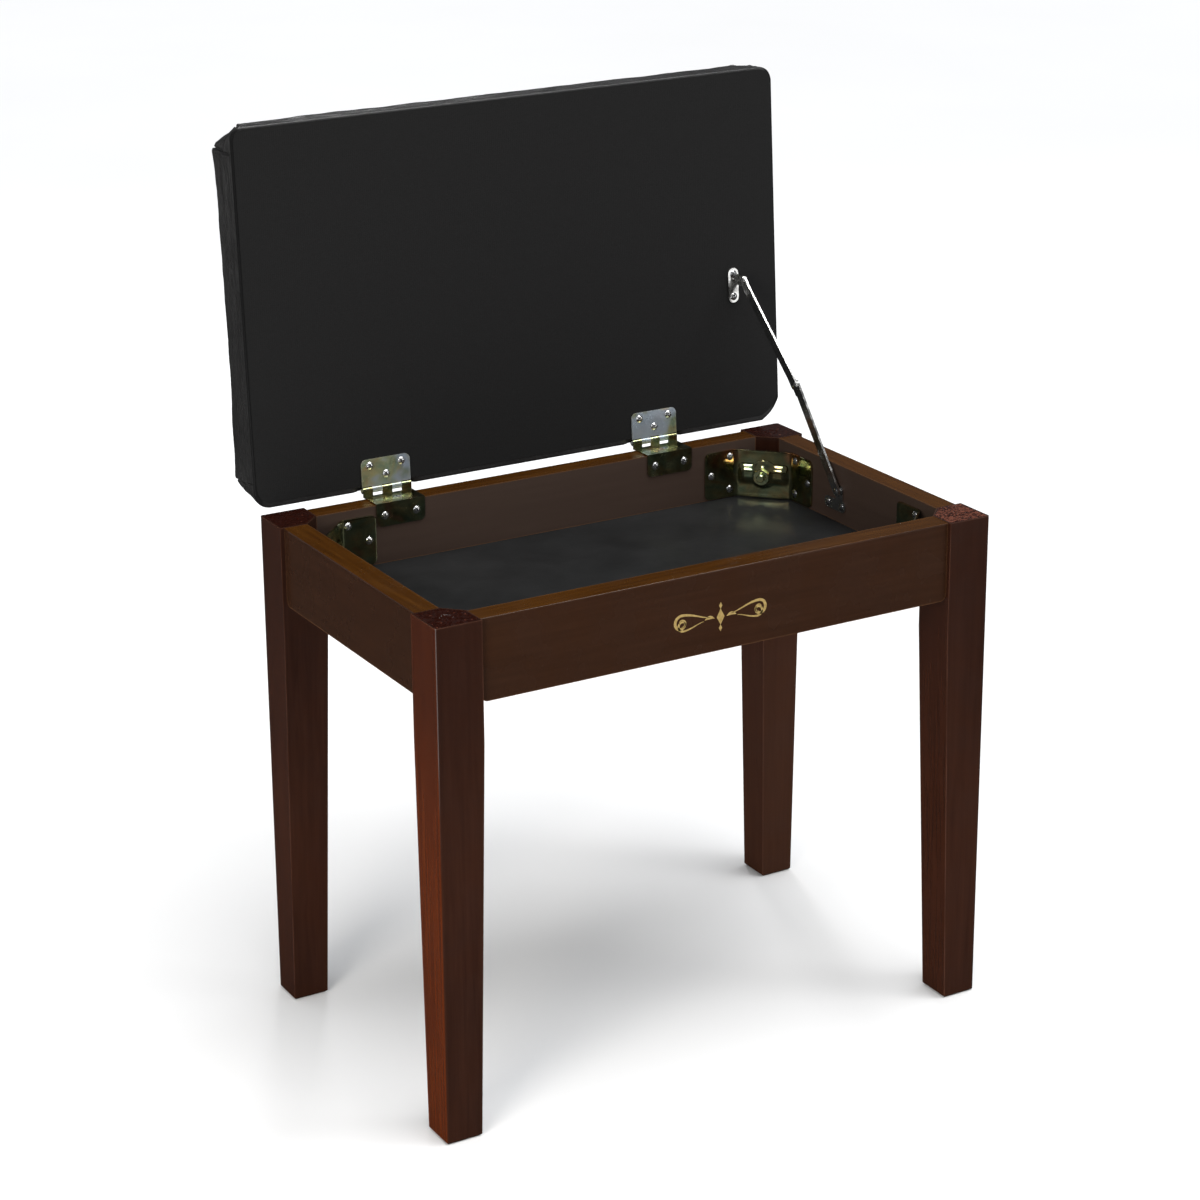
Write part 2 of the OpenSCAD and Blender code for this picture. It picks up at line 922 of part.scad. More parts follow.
// bar with round ends, long way along X, centred
module round_bar(length, w) {
  translate([w / 2 - length / 2, 0]) strip(length - w, w);
}

module stay_frame_screw_places() {
  for (y = [-1, 1])
    translate([in_x - plate_t, stay_fy + rail_plate_y + y * plate_screw, stay_fz - rail_plate_z])
      rotate([0, -90, 0])
        children();
}

module stay_frame_screws() {
  color([0.80, 0.80, 0.78])
    placed()
      stay_frame_screw_places()
        screw(rail_screw);
}

module stay_lid_plate() {
  z0 = -seat_under - plate_t;
  color([0.78, 0.77, 0.74])
    open_lid()
      difference() {
        union() {
          translate([tab_x1 - plate_w / 2, -lid_u + plate_shift, z0])
            linear_extrude(plate_t)
              rotate([0, 0, 90])
                round_bar(plate_len, plate_w);
          translate([tab_x1 - plate_t, -lid_u, 0])
            upright()
              linear_extrude(plate_t) {
                translate([0, -lid_v]) circle(tab_r);
                translate([-tab_r, -lid_v]) square([2 * tab_r, lid_v - seat_under]);
              }
        }
        translate([tab_x1 - 10, -lid_u, -lid_v])
          rotate([0, 90, 0])
            cylinder(h = 20, r = rivet_r + 0.02);
        stay_lid_screw_points() cylinder(h = 20, r = shank_r + 0.2, center = true);
      }
}

module stay_lid_screw_points() {
  for (y = [-1, 1])
    translate([tab_x1 - plate_w / 2, -lid_u + plate_shift + y * plate_screw, -seat_under - plate_t])
      rotate([180, 0, 0])
        children();
}

module stay_lid_screws() {
  color([0.80, 0.80, 0.78])
    open_lid()
      stay_lid_screw_points()
        screw(seat_screw);
}

module leg_fl() {
  leg(-1, -1);
}

module leg_fr() {
  leg(1, -1);
}

module leg_bl() {
  leg(-1, 1);
}

module leg_br() {
  leg(1, 1);
}

module bracket_fl() {
  bracket(-1, -1);
}

module bracket_fr() {
  bracket(1, -1);
}

module bracket_bl() {
  bracket(-1, 1);
}

module bracket_br() {
  bracket(1, 1);
}

leg_fl();
leg_fr();
leg_bl();
leg_br();
rail_front();
rail_back();
rail_left();
rail_right();
bottom_panel();
bracket_fl();
bracket_fr();
bracket_bl();
bracket_br();
hanger_bolts();
bolt_nuts();
bracket_screws();
hinge_frame_leaf_l();
hinge_frame_leaf_r();
hinge_lid_leaf_l();
hinge_lid_leaf_r();
hinge_pins();
hinge_top_screws();
hinge_rail_screws();
hinge_lid_screws();
stay_frame_plate();
stay_frame_rivet();
stay_frame_screws();
stay_lower_arm();
stay_elbow_rivet();
stay_elbow_cap();
stay_upper_arm();
stay_lid_rivet();
stay_lid_plate();
stay_lid_screws();
seat_board();
seat_foam();
seat_cover();
seat_dust_cloth();
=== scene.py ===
import math

import bmesh
import bpy
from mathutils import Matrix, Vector, noise

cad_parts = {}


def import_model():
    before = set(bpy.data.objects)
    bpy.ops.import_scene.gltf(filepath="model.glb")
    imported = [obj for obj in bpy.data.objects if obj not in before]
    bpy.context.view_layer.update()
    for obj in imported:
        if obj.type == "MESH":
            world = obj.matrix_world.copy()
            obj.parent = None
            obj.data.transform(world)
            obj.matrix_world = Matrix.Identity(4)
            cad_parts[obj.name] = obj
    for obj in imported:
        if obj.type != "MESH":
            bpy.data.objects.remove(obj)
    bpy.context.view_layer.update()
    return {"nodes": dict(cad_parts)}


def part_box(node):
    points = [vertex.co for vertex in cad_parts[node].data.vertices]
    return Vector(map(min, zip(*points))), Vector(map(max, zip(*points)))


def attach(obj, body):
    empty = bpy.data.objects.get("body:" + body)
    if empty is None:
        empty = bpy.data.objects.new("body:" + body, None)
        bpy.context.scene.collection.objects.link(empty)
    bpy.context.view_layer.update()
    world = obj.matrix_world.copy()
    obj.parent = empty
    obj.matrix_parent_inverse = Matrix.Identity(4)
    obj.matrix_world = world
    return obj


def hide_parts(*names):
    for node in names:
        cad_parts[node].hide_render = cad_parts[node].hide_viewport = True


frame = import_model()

NODES = frame["nodes"]
TAU = 2 * math.pi

# the seat: how far it leans back, its hinge line, half its width and length, and where it starts above the hinge line
LEAN = math.radians(3.6)
PIN = sum(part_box("hinge_pins"), Vector()) / 2
HX, HU, U0 = 0.2742, 0.16865, -0.0008
# its thickness, the radius of its corners seen from above, and how far its two edges roll in
THICK, CORNER = 0.0495, 0.010
ROLL_LOW, ROLL_TOP = 0.0018, 0.0085
# where the vinyl is folded over at the short sides, and the height at which the corners have their upper shape
FLAP, CUT_TOP = 0.0240, 0.047
# the top edge sits lower at its left end by this much
SKEW = 0.0026
# the middles and the barrel radius of the hinges, which press into the pad's edge
LEAVES = [(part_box(n)[0].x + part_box(n)[1].x) / 2 for n in ("hinge_lid_leaf_l", "hinge_lid_leaf_r")]
BARREL = 0.0035
# the middle of the frame from front to back
FRAME_Y = -0.0356

# ------------------------------------------------------------------ material helpers


class Finish:
    """A node material with short calls for the textures that it needs. Coordinates are metres in the row frame."""

    def __init__(self, name, **values):
        self.mat = bpy.data.materials.new(name)
        self.mat.use_nodes = True
        self.tree = self.mat.node_tree
        self.bsdf = self.tree.nodes["Principled BSDF"]
        for key, value in values.items():
            self.bsdf.inputs[key.replace("_", " ")].default_value = value
        self.coords = self.tree.nodes.new("ShaderNodeTexCoord")

    def new(self, kind, **props):
        node = self.tree.nodes.new(kind)
        for key, value in props.items():
            setattr(node, key, value)
        return node

    def link(self, source, target):
        self.tree.links.new(source, target)

    def put(self, target, value):
        if hasattr(value, "links"):
            self.link(value, target)
        else:
            target.default_value = value

    def place(self, stretch=(1, 1, 1), shift=(0, 0, 0)):
        m = self.new("ShaderNodeMapping")
        m.inputs["Scale"].default_value = stretch
        m.inputs["Location"].default_value = shift
        self.link(self.coords.outputs["Object"], m.inputs["Vector"])
        return m.outputs["Vector"]

    def noise(self, scale, stretch=(1, 1, 1), detail=4.0, rough=0.55, warp=0.0, shift=(0, 0, 0)):
        n = self.new("ShaderNodeTexNoise")
        n.inputs["Scale"].default_value = scale
        n.inputs["Detail"].default_value = detail
        n.inputs["Roughness"].default_value = rough
        n.inputs["Distortion"].default_value = warp
        self.link(self.place(stretch, shift), n.inputs["Vector"])
        return n.outputs["Fac"]

    def cells(self, scale, feature="F1", jitter=1.0, out="Distance"):
        v = self.new("ShaderNodeTexVoronoi", feature=feature)
        v.inputs["Scale"].default_value = scale
        v.inputs["Randomness"].default_value = jitter
        self.link(self.place(), v.inputs["Vector"])
        return v.outputs[out]

    def bands(self, scale, axis, warp=0.0):
        w = self.new("ShaderNodeTexWave", wave_type="BANDS", bands_direction=axis, wave_profile="SIN")
        w.inputs["Scale"].default_value = scale
        w.inputs["Distortion"].default_value = warp
        w.inputs["Detail"].default_value = 2.0
        self.link(self.place(), w.inputs["Vector"])
        return w.outputs["Fac"]

    def ramp(self, fac, stops):
        """Each stop is (position, colour)."""
        r = self.new("ShaderNodeValToRGB")
        while len(r.color_ramp.elements) < len(stops):
            r.color_ramp.elements.new(0.5)
        for element, (at, colour) in zip(r.color_ramp.elements, stops):
            element.position = at
            element.color = (*colour, 1)
        self.link(fac, r.inputs["Fac"])
        return r.outputs["Color"]

    def span(self, value, low, high, to_low=0.0, to_high=1.0):
        """An eased step from to_low at low to to_high at high."""
        m = self.new("ShaderNodeMapRange", interpolation_type="SMOOTHSTEP")
        for key, v in (("From Min", low), ("From Max", high), ("To Min", to_low), ("To Max", to_high)):
            m.inputs[key].default_value = v
        self.link(value, m.inputs["Value"])
        return m.outputs["Result"]

    def blend(self, fac, a, b, mode="MIX"):
        m = self.new("ShaderNodeMix", data_type="RGBA", blend_type=mode)
        self.put(m.inputs["Factor"], fac)
        self.put(m.inputs[6], a if hasattr(a, "links") else (*a, 1))
        self.put(m.inputs[7], b if hasattr(b, "links") else (*b, 1))
        return m.outputs[2]

    def math(self, op, a, b=0.0):
        m = self.new("ShaderNodeMath", operation=op)
        self.put(m.inputs[0], a)
        self.put(m.inputs[1], b)
        return m.outputs[0]

    def times(self, a, b):
        return self.math("MULTIPLY", a, b)

    def axis(self, which, source="Object"):
        """One coordinate of the place, or of the surface's normal."""
        s = self.new("ShaderNodeSeparateXYZ")
        self.link(self.coords.outputs[source], s.inputs["Vector"])
        return s.outputs[which]

    def facing(self, which, sign, soft=0.2):
        """1 where the surface looks along the axis, towards the side that sign gives."""
        n = self.axis(which, "Normal")
        if sign < 0:
            n = self.times(n, -1.0)
        return self.span(n, 0.75 - soft, 0.75 + soft)

    def edge(self, radius, low=0.02, high=0.25):
        """1 along the piece's sharp edges and corners, 0 on its flats."""
        b = self.new("ShaderNodeBevel", samples=6)
        b.inputs["Radius"].default_value = radius
        g = self.new("ShaderNodeNewGeometry")
        d = self.new("ShaderNodeVectorMath", operation="DOT_PRODUCT")
        self.link(b.outputs["Normal"], d.inputs[0])
        self.link(g.outputs["Normal"], d.inputs[1])
        return self.span(self.math("SUBTRACT", 1.0, d.outputs["Value"]), low, high)

    def apart(self, point):
        """The distance to a point."""
        d = self.new("ShaderNodeVectorMath", operation="DISTANCE")
        self.link(self.coords.outputs["Object"], d.inputs[0])
        d.inputs[1].default_value = point
        return d.outputs["Value"]

    def bump(self, *layers):
        """Each layer is (height, depth in metres)."""
        normal = None
        for height, depth in layers:
            b = self.new("ShaderNodeBump")
            b.inputs["Strength"].default_value = 1.0
            b.inputs["Distance"].default_value = depth
            self.link(height, b.inputs["Height"])
            if normal is not None:
                self.link(normal, b.inputs["Normal"])
            normal = b.outputs["Normal"]
        self.link(normal, self.bsdf.inputs["Normal"])

    def colour(self, value):
        self.put(self.bsdf.inputs["Base Color"], value)

    def rough(self, value):
        self.put(self.bsdf.inputs["Roughness"], value)


GRAIN = {"X": (0.05, 1, 1), "Y": (1, 0.05, 1), "Z": (1, 1, 0.05)}


def wood_leg(name, lit_redness, pale=0.0):
    """Dark mahogany stain under gloss lacquer. lit_redness is how much painted light shows on the left-facing side,
    which is made lighter and redder as if a warm lamp lit it, less so near the top, and pale is how much lighter the
    lower half is.
    """
    f = Finish(name, Specular_IOR_Level=0.20, Coat_Weight=0.16, Coat_Roughness=0.05)
    tone = f.noise(7.0, stretch=(1, 1, 0.35), detail=2)
    grain = f.noise(230.0, stretch=GRAIN["Z"], detail=6, warp=0.6)
    pores = f.noise(900.0, stretch=(1, 1, 0.03), detail=3, rough=0.7)
    stain = [(0.25, (0.019, 0.0068, 0.0040)), (0.52, (0.027, 0.0098, 0.0056)), (0.80, (0.036, 0.0132, 0.0075))]
    base = f.ramp(grain, stain)
    base = f.blend(f.span(tone, 0.3, 0.75, 0, 0.35), base, (0.060, 0.0200, 0.0100))
    lit_reds = [(0.25, (0.066, 0.0120, 0.0028)), (0.55, (0.096, 0.0190, 0.0042)), (0.80, (0.122, 0.0270, 0.0062))]
    lit_red = f.ramp(grain, lit_reds)
    # painted light: the left-facing side is made lighter and redder, as if lit from the left, and less so near the top
    side = f.times(f.facing("X", -1), f.span(f.axis("Z"), 0.42, 0.30, 0.72, 1.0))
    base = f.blend(f.times(side, lit_redness), base, lit_red)
    high = f.span(f.axis("Z"), 0.20, 0.44)
    base = f.blend(f.times(f.math("SUBTRACT", 1.0, high), pale), base, (0.095, 0.040, 0.022))
    # painted shade: the legs are darker towards their tops
    base = f.blend(f.times(high, 0.42), base, (0.0110, 0.0042, 0.0030))
    base = f.blend(f.span(pores, 0.62, 0.75, 0, 0.18), base, (0.014, 0.005, 0.0035))
    # rubbed edges are lighter, and this is partly a painted highlight along the arrises
    rubbed_and_lit_edges = f.times(f.edge(0.0022), f.span(f.noise(14, detail=2), 0.3, 0.7, 0.20, 0.55))
    base = f.blend(rubbed_and_lit_edges, base, (0.17, 0.075, 0.048))
    f.colour(base)
    f.rough(f.span(f.noise(35, detail=3), 0.3, 0.7, 0.14, 0.24))
    f.bump((f.noise(45, detail=2), 0.00022), (grain, 0.00003))
    return f.mat


def wood_end(name, flecks):
    """The sawn top of a leg: end grain that drank the stain, under a lumpy coat. flecks is how many chips show."""
    f = Finish(name, Specular_IOR_Level=0.10, Coat_Weight=0.14, Coat_Roughness=0.04)
    grain = f.noise(600, detail=6, rough=0.7)
    chips = f.cells(620, "F1", out="Color")
    chip = f.new("ShaderNodeSeparateColor")
    f.link(chips, chip.inputs["Color"])
    stain = [(0.30, (0.008, 0.0016, 0.0008)), (0.5, (0.019, 0.0036, 0.0018)), (0.72, (0.040, 0.0085, 0.0042))]
    base = f.ramp(grain, stain)
    pale = f.ramp(f.noise(1100, detail=3), [(0.3, (0.070, 0.018, 0.010)), (0.7, (0.22, 0.075, 0.045))])
    base = f.blend(f.span(chip.outputs["Red"], 1.0 - flecks, 1.02 - 0.6 * flecks), base, pale)
    f.colour(base)
    f.rough(f.span(f.noise(260, detail=4), 0.3, 0.7, 0.12, 0.38))
    f.bump((grain, 0.0001 + 0.0004 * flecks), (f.cells(620, "SMOOTH_F1"), 0.0009 * flecks))
    return f.mat


def wood_rail(name, along, inner, sign):
    """A rail with its grain along one axis. Its inner face, which looks along inner, took less stain."""
    f = Finish(name, Specular_IOR_Level=0.12, Coat_Weight=0.08, Coat_Roughness=0.08)
    tone = f.noise(5.0, stretch=GRAIN[along], detail=2)
    grain = f.noise(260.0, stretch=GRAIN[along], detail=6, warp=0.4)
    fibre = f.noise(1400.0, stretch=tuple(0.02 if s < 1 else 1 for s in GRAIN[along]), detail=3, rough=0.6)
    stain = [(0.25, (0.0245, 0.0097, 0.0046)), (0.55, (0.0305, 0.0121, 0.0058)), (0.80, (0.037, 0.0150, 0.0073))]
    base = f.ramp(grain, stain)
    base = f.blend(f.span(tone, 0.25, 0.8, 0, 0.4), base, (0.042, 0.0172, 0.0080))
    base = f.blend(f.span(fibre, 0.62, 0.75, 0, 0.35), base, (0.018, 0.0065, 0.0035))
    inside = f.facing(inner, sign)
    wash = f.noise(90, stretch=GRAIN[along], detail=5)
    pale = f.ramp(wash, [(0.2, (0.054, 0.0350, 0.0270)), (0.8, (0.068, 0.0450, 0.0350))])
    base = f.blend(inside, base, pale)
    top = f.facing("Z", 1)
    golds = [(0.25, (0.038, 0.0125, 0.0012)), (0.5, (0.060, 0.0205, 0.0020)), (0.78, (0.088, 0.0330, 0.0045))]
    planed = f.ramp(grain, golds)
    planed = f.blend(f.span(fibre, 0.58, 0.72, 0, 0.6), planed, (0.025, 0.009, 0.002))
    base = f.blend(top, base, planed)
    # rubbed edges are lighter, and this is partly a painted highlight along the arrises
    rubbed_and_lit_edges = f.times(f.edge(0.0024), f.span(f.noise(12, detail=2), 0.3, 0.7, 0.40, 0.80))
    base = f.blend(rubbed_and_lit_edges, base, (0.17, 0.082, 0.036))
    f.colour(base)
    f.rough(f.math("ADD", f.span(f.noise(28, detail=3), 0.3, 0.7, 0.20, 0.30), f.times(inside, 0.22)))
    f.bump((f.noise(40, detail=2), 0.00030), (grain, 0.00006), (fibre, 0.00002))
    return f.mat


def black_board():
    f = Finish("Panel_Black_Laminate", Specular_IOR_Level=0.08)
    cloud = f.noise(16, detail=4, rough=0.6)
    fleck = f.noise(1500, detail=2)
    base = f.ramp(cloud, [(0.3, (0.0145, 0.0150, 0.0152)), (0.7, (0.0235, 0.0240, 0.0243))])
    base = f.blend(f.span(fleck, 0.66, 0.75, 0, 0.5), base, (0.035, 0.035, 0.034))
    f.colour(base)
    f.rough(f.span(f.noise(9, detail=4), 0.3, 0.7, 0.30, 0.46))
    f.bump((f.noise(140, detail=4), 0.00008), (fleck, 0.00002))
    return f.mat


def zinc_yellow(name, seed, light=1.0, metal=1.0, patches=(), gloss=(0.14, 0.28), wavy=0.00022):
    """Yellow chromate over zinc: olive and gold clouds with copper and green films. light scales the clouds' colours,
    and patches are the middles of worn copper spots. A piece that is less than all metal gets a violet bloom.
    """
    f = Finish(name, Metallic=metal)
    s = (seed * 3.7, seed * 1.9, seed * 5.3)
    cloud = f.noise(48, detail=5, rough=0.6, warp=1.0, shift=s)
    film = f.noise(30, detail=3, warp=2.0, shift=tuple(v + 9 for v in s))
    fine = f.noise(600, stretch=(1, 1, 0.3), detail=4)
    clouds = [(0.28, (0.20, 0.24, 0.18)), (0.46, (0.42, 0.43, 0.29)),
              (0.60, (0.58, 0.55, 0.36)), (0.78, (0.72, 0.72, 0.58))]
    gold = f.ramp(cloud, [(at, tuple(c * light for c in colour)) for at, colour in clouds])
    films = [(0.30, (0.62, 0.90, 0.82)), (0.45, (0.86, 0.94, 0.74)), (0.58, (0.98, 0.86, 0.56)),
             (0.66, (0.95, 0.62, 0.40)), (0.74, (0.80, 0.66, 0.74))]
    base = f.blend(0.85, gold, f.ramp(film, films), "MULTIPLY")
    base = f.blend(f.span(film, 0.62, 0.72, 0, 0.35), base, (0.55, 0.27, 0.13))
    if metal < 1:
        violet = f.span(f.noise(38, detail=2, shift=tuple(v + 4 for v in s)), 0.42, 0.60, 0.05, 0.85)
        base = f.blend(violet, base, (0.42, 0.49, 0.60))
    base = f.blend(f.times(f.edge(0.0006), 0.8), base, (0.88, 0.87, 0.74))
    for point in patches:
        spot = f.span(f.math("ADD", f.apart(point), f.times(cloud, 0.008)), 0.009, 0.017, 1.0, 0.0)
        base = f.blend(f.times(spot, 0.8), base, (0.90, 0.42, 0.20))
    f.colour(base)
    f.rough(f.span(f.noise(120, detail=5), 0.3, 0.7, *gloss))
    f.bump((f.noise(90, detail=3), wavy), (fine, 0.00002))
    return f.mat


def zinc_bright():
    f = Finish("Zinc_Bright_Screws", Metallic=1.0)
    base = f.ramp(f.noise(400, detail=4), [(0.3, (0.42, 0.43, 0.44)), (0.7, (0.74, 0.75, 0.76))])
    base = f.blend(f.span(f.noise(90, detail=2), 0.5, 0.7, 0, 0.4), base, (0.62, 0.56, 0.40))
    base = f.blend(f.times(f.edge(0.0004), 0.6), base, (0.90, 0.90, 0.90))
    f.colour(base)
    f.rough(f.span(f.noise(300, detail=4), 0.3, 0.7, 0.20, 0.36))
    f.bump((f.noise(900, detail=3), 0.00004))
    return f.mat


def nickel():
    f = Finish("Nickel_Plated_Stay", Metallic=1.0)
    streak = f.noise(700, stretch=(1, 0.12, 0.12), detail=4)
    base = f.ramp(streak, [(0.3, (0.60, 0.60, 0.59)), (0.7, (0.82, 0.82, 0.80))])
    base = f.blend(f.span(f.noise(60, detail=4), 0.5, 0.72, 0, 0.35), base, (0.34, 0.33, 0.31))
    base = f.blend(f.times(f.edge(0.0004), 0.8), base, (0.95, 0.95, 0.94))
    f.colour(base)
    f.rough(f.span(f.noise(180, detail=4), 0.3, 0.7, 0.12, 0.26))
    f.bump((streak, 0.00002), (f.noise(70, detail=2), 0.00012))
    return f.mat


def vinyl():
    f = Finish("Vinyl_Black_Leatherette", Specular_IOR_Level=0.40, Coat_Weight=0.08, Coat_Roughness=0.25)
    pebble = f.cells(780, "SMOOTH_F1")
    fold = f.noise(240, detail=5, rough=0.6, warp=0.8)
    hatch = f.noise(420, stretch=(1, 0.35, 1), detail=3, warp=1.5)
    base = f.ramp(f.noise(30, detail=4), [(0.3, (0.0120, 0.0120, 0.0123)), (0.7, (0.0200, 0.0200, 0.0203))])
    base = f.blend(f.span(pebble, 0.0, 0.5, 0.3, 0.0), base, (0.022, 0.022, 0.0225))
    base = f.blend(f.span(hatch, 0.62, 0.72, 0, 0.4), base, (0.032, 0.032, 0.0325))
    # no light gets into the tuck beside the lining at the two ends
    depth = f.new("ShaderNodeVectorMath", operation="DOT_PRODUCT")
    f.link(f.coords.outputs["Object"], depth.inputs[0])
    depth.inputs[1].default_value = (0, math.cos(LEAN), -math.sin(LEAN))
    w = f.math("SUBTRACT", depth.outputs["Value"], PIN.y * math.cos(LEAN) - PIN.z * math.sin(LEAN))
    at_end = f.span(f.math("ABSOLUTE", f.axis("X")), HX - 0.010, HX - 0.006)
    tuck = f.times(f.span(w, 0.0009, 0.0017, 1.0, 0.0), at_end)
    base = f.blend(f.times(tuck, 0.9), base, (0.002, 0.002, 0.002))
    f.colour(base)
    f.rough(f.math("MAXIMUM", f.span(f.noise(70, detail=4), 0.3, 0.7, 0.30, 0.46), tuck))
    f.bump((f.noise(22, detail=3), 0.0006), (fold, 0.00050), (hatch, 0.00018), (pebble, 0.00014))
    return f.mat


def lining():
    f = Finish("Lining_Black_Nonwoven", Specular_IOR_Level=0.12, Roughness=0.92, Sheen_Weight=0.08, Sheen_Roughness=0.5)
    felt = f.noise(1300, detail=4, rough=0.7)
    dots = f.cells(520, "F1", jitter=0.15)
    base = f.ramp(felt, [(0.3, (0.0075, 0.0075, 0.0076)), (0.7, (0.0125, 0.0125, 0.0126))])
    base = f.blend(f.span(dots, 0.08, 0.22, 0.35, 0.0), base, (0.0075, 0.0075, 0.0076))
    f.colour(base)
    f.bump((felt, 0.00006), (dots, 0.00008))
    return f.mat


def plywood():
    f = Finish("Plywood_Birch", Roughness=0.75, Specular_IOR_Level=0.25)
    grain = f.noise(170, stretch=GRAIN["X"], detail=6, warp=0.6)
    plies = f.bands(190, "Y", warp=0.3)
    base = f.ramp(grain, [(0.3, (0.40, 0.25, 0.12)), (0.7, (0.62, 0.44, 0.25))])
    base = f.blend(f.times(plies, 0.35), base, (0.25, 0.14, 0.06))
    f.colour(base)
    f.bump((grain, 0.00015))
    return f.mat


def gold_leaf():
    f = Finish("Gold_Transfer", Metallic=0.35)
    base = f.ramp(f.noise(320, detail=4), [(0.3, (0.42, 0.28, 0.085)), (0.7, (0.62, 0.45, 0.17))])
    f.colour(base)
    f.rough(f.span(f.noise(500, detail=3), 0.3, 0.7, 0.30, 0.48))
    f.bump((f.noise(800, detail=3), 0.00004))
    return f.mat


# ------------------------------------------------------------------ finishes on the carried-over nodes


def finish(material, *names):
    for name in names:
        for slot in NODES[name].material_slots:
            slot.link = "OBJECT"
            slot.material = material


finish(wood_leg("Mahogany_Lacquer_Leg_FL", 1.0), "leg_fl")
finish(wood_leg("Mahogany_Lacquer_Leg", 0.12), "leg_fr", "leg_bl")
finish(wood_leg("Mahogany_Lacquer_Leg_BR", 0.12, 0.30), "leg_br")
finish(wood_rail("Walnut_Lacquer_Front", "X", "Y", 1), "rail_front")
finish(wood_rail("Walnut_Lacquer_Back", "X", "Y", -1), "rail_back")
finish(wood_rail("Walnut_Lacquer_Left", "Y", "X", 1), "rail_left")
finish(wood_rail("Walnut_Lacquer_Right", "Y", "X", -1), "rail_right")
finish(black_board(), "bottom_panel")
COPPER_SPOTS = [(0.1995, 0.1028, 0.4434), (0.2434, 0.0600, 0.4434)]
PLATE = zinc_yellow("Zinc_Yellow_Brackets", 1, 0.95, 1.0, COPPER_SPOTS, (0.07, 0.16), 0.00008)
finish(zinc_yellow("Zinc_Yellow_Frame_Leaves", 2, 0.85), "hinge_frame_leaf_l", "hinge_frame_leaf_r")
# painted reflection: the lid leaves get less metal than the frame leaves so that they show lighter, as if mirroring the
# bright room
finish(zinc_yellow("Zinc_Yellow_Lid_Leaves", 3, 0.80, 0.55), "hinge_lid_leaf_l", "hinge_lid_leaf_r", "hinge_pins")
finish(zinc_yellow("Zinc_Yellow_Bolts", 4, 1.5), "hanger_bolts", "bolt_nuts")
finish(zinc_bright(), "bracket_screws", "hinge_top_screws", "hinge_rail_screws", "hinge_lid_screws", "stay_frame_screws",
       "stay_lid_screws")
finish(nickel(), "stay_frame_plate", "stay_frame_rivet", "stay_lower_arm", "stay_elbow_rivet", "stay_elbow_cap",
       "stay_upper_arm", "stay_lid_rivet", "stay_lid_plate")

# ------------------------------------------------------------------ mesh helpers


def smooth01(t):
    t = min(1.0, max(0.0, t))
    return t * t * (3 - 2 * t)


def bell(d, width):
    return math.exp(-(d / width) ** 2)


def made(bm, name):
    """Turns the built skin into an object in the scene."""
    mesh = bpy.data.meshes.new(name)
    bm.to_mesh(mesh)
    bm.free()
    obj = bpy.data.objects.new(name, mesh)
    bpy.context.scene.collection.objects.link(obj)
    return obj


def shade_smooth(obj, sharp_from=None):
    """Smooth shading, with edges sharper than sharp_from radians kept crisp."""
    for p in obj.data.polygons:
        p.use_smooth = True
    if sharp_from:
        obj.data.set_sharp_from_angle(angle=sharp_from)


def rim_of(ni, nj):
    """The border crossings of a grid, in order, of which the last ones are ni and nj."""
    rim = [(i, 0) for i in range(ni + 1)] + [(ni, j) for j in range(1, nj + 1)]
    return rim + [(i, nj) for i in range(ni - 1, -1, -1)] + [(0, j) for j in range(nj - 1, 0, -1)]


def quarter(steps):
    """Angles from 0 to 90 degrees."""
    return [math.radians(90 * k / steps) for k in range(steps + 1)]


# ------------------------------------------------------------------ the upholstered seat


def lid_point(x, u, w):
    """x across, u up the lid from the hinge pin, w from the pin's plane out through the padding."""
    return Vector((x, PIN.y + u * math.sin(LEAN) + w * math.cos(LEAN), PIN.z + u * math.cos(LEAN) - w * math.sin(LEAN)))


def spaced(half, step, corner_lines):
    """Line positions as (straight position, corner part). They crowd together near the corners, where the folds are."""
    flat, near, close = half - CORNER, 0.020, 16
    lines = [(-flat, -(corner_lines - k) / corner_lines) for k in range(corner_lines)]
    crowd = [near * k / close for k in range(close)]
    n = max(2, round(2 * (flat - near) / step))
    lines += [(-flat + d, 0.0) for d in crowd]
    lines += [(-flat + near + 2 * (flat - near) * k / n, 0.0) for k in range(n + 1)]
    lines += [(flat - d, 0.0) for d in reversed(crowd)]
    lines += [(flat, (k + 1) / corner_lines) for k in range(corner_lines)]
    return lines


def corner_disc(a, b, radius):
    """A corner square's (a, b) to a quarter disc."""
    r = max(abs(a), abs(b))
    if r == 0:
        return 0.0, 0.0
    if abs(a) >= abs(b):
        t = math.radians(45 * abs(b) / abs(a))
    else:
        t = math.radians(90 - 45 * abs(a) / abs(b))
    return math.copysign(r * radius * math.cos(t), a), math.copysign(r * radius * math.sin(t), b)


def grid_point(xl, ul, radius):
    """Where a grid crossing falls on a rounded rectangle whose corners have this radius."""
    (x, a), (u, b) = xl, ul
    if a and b:
        dx, du = corner_disc(a, b, radius)
        return x + dx, u + du
    return x + a * radius, u + b * radius


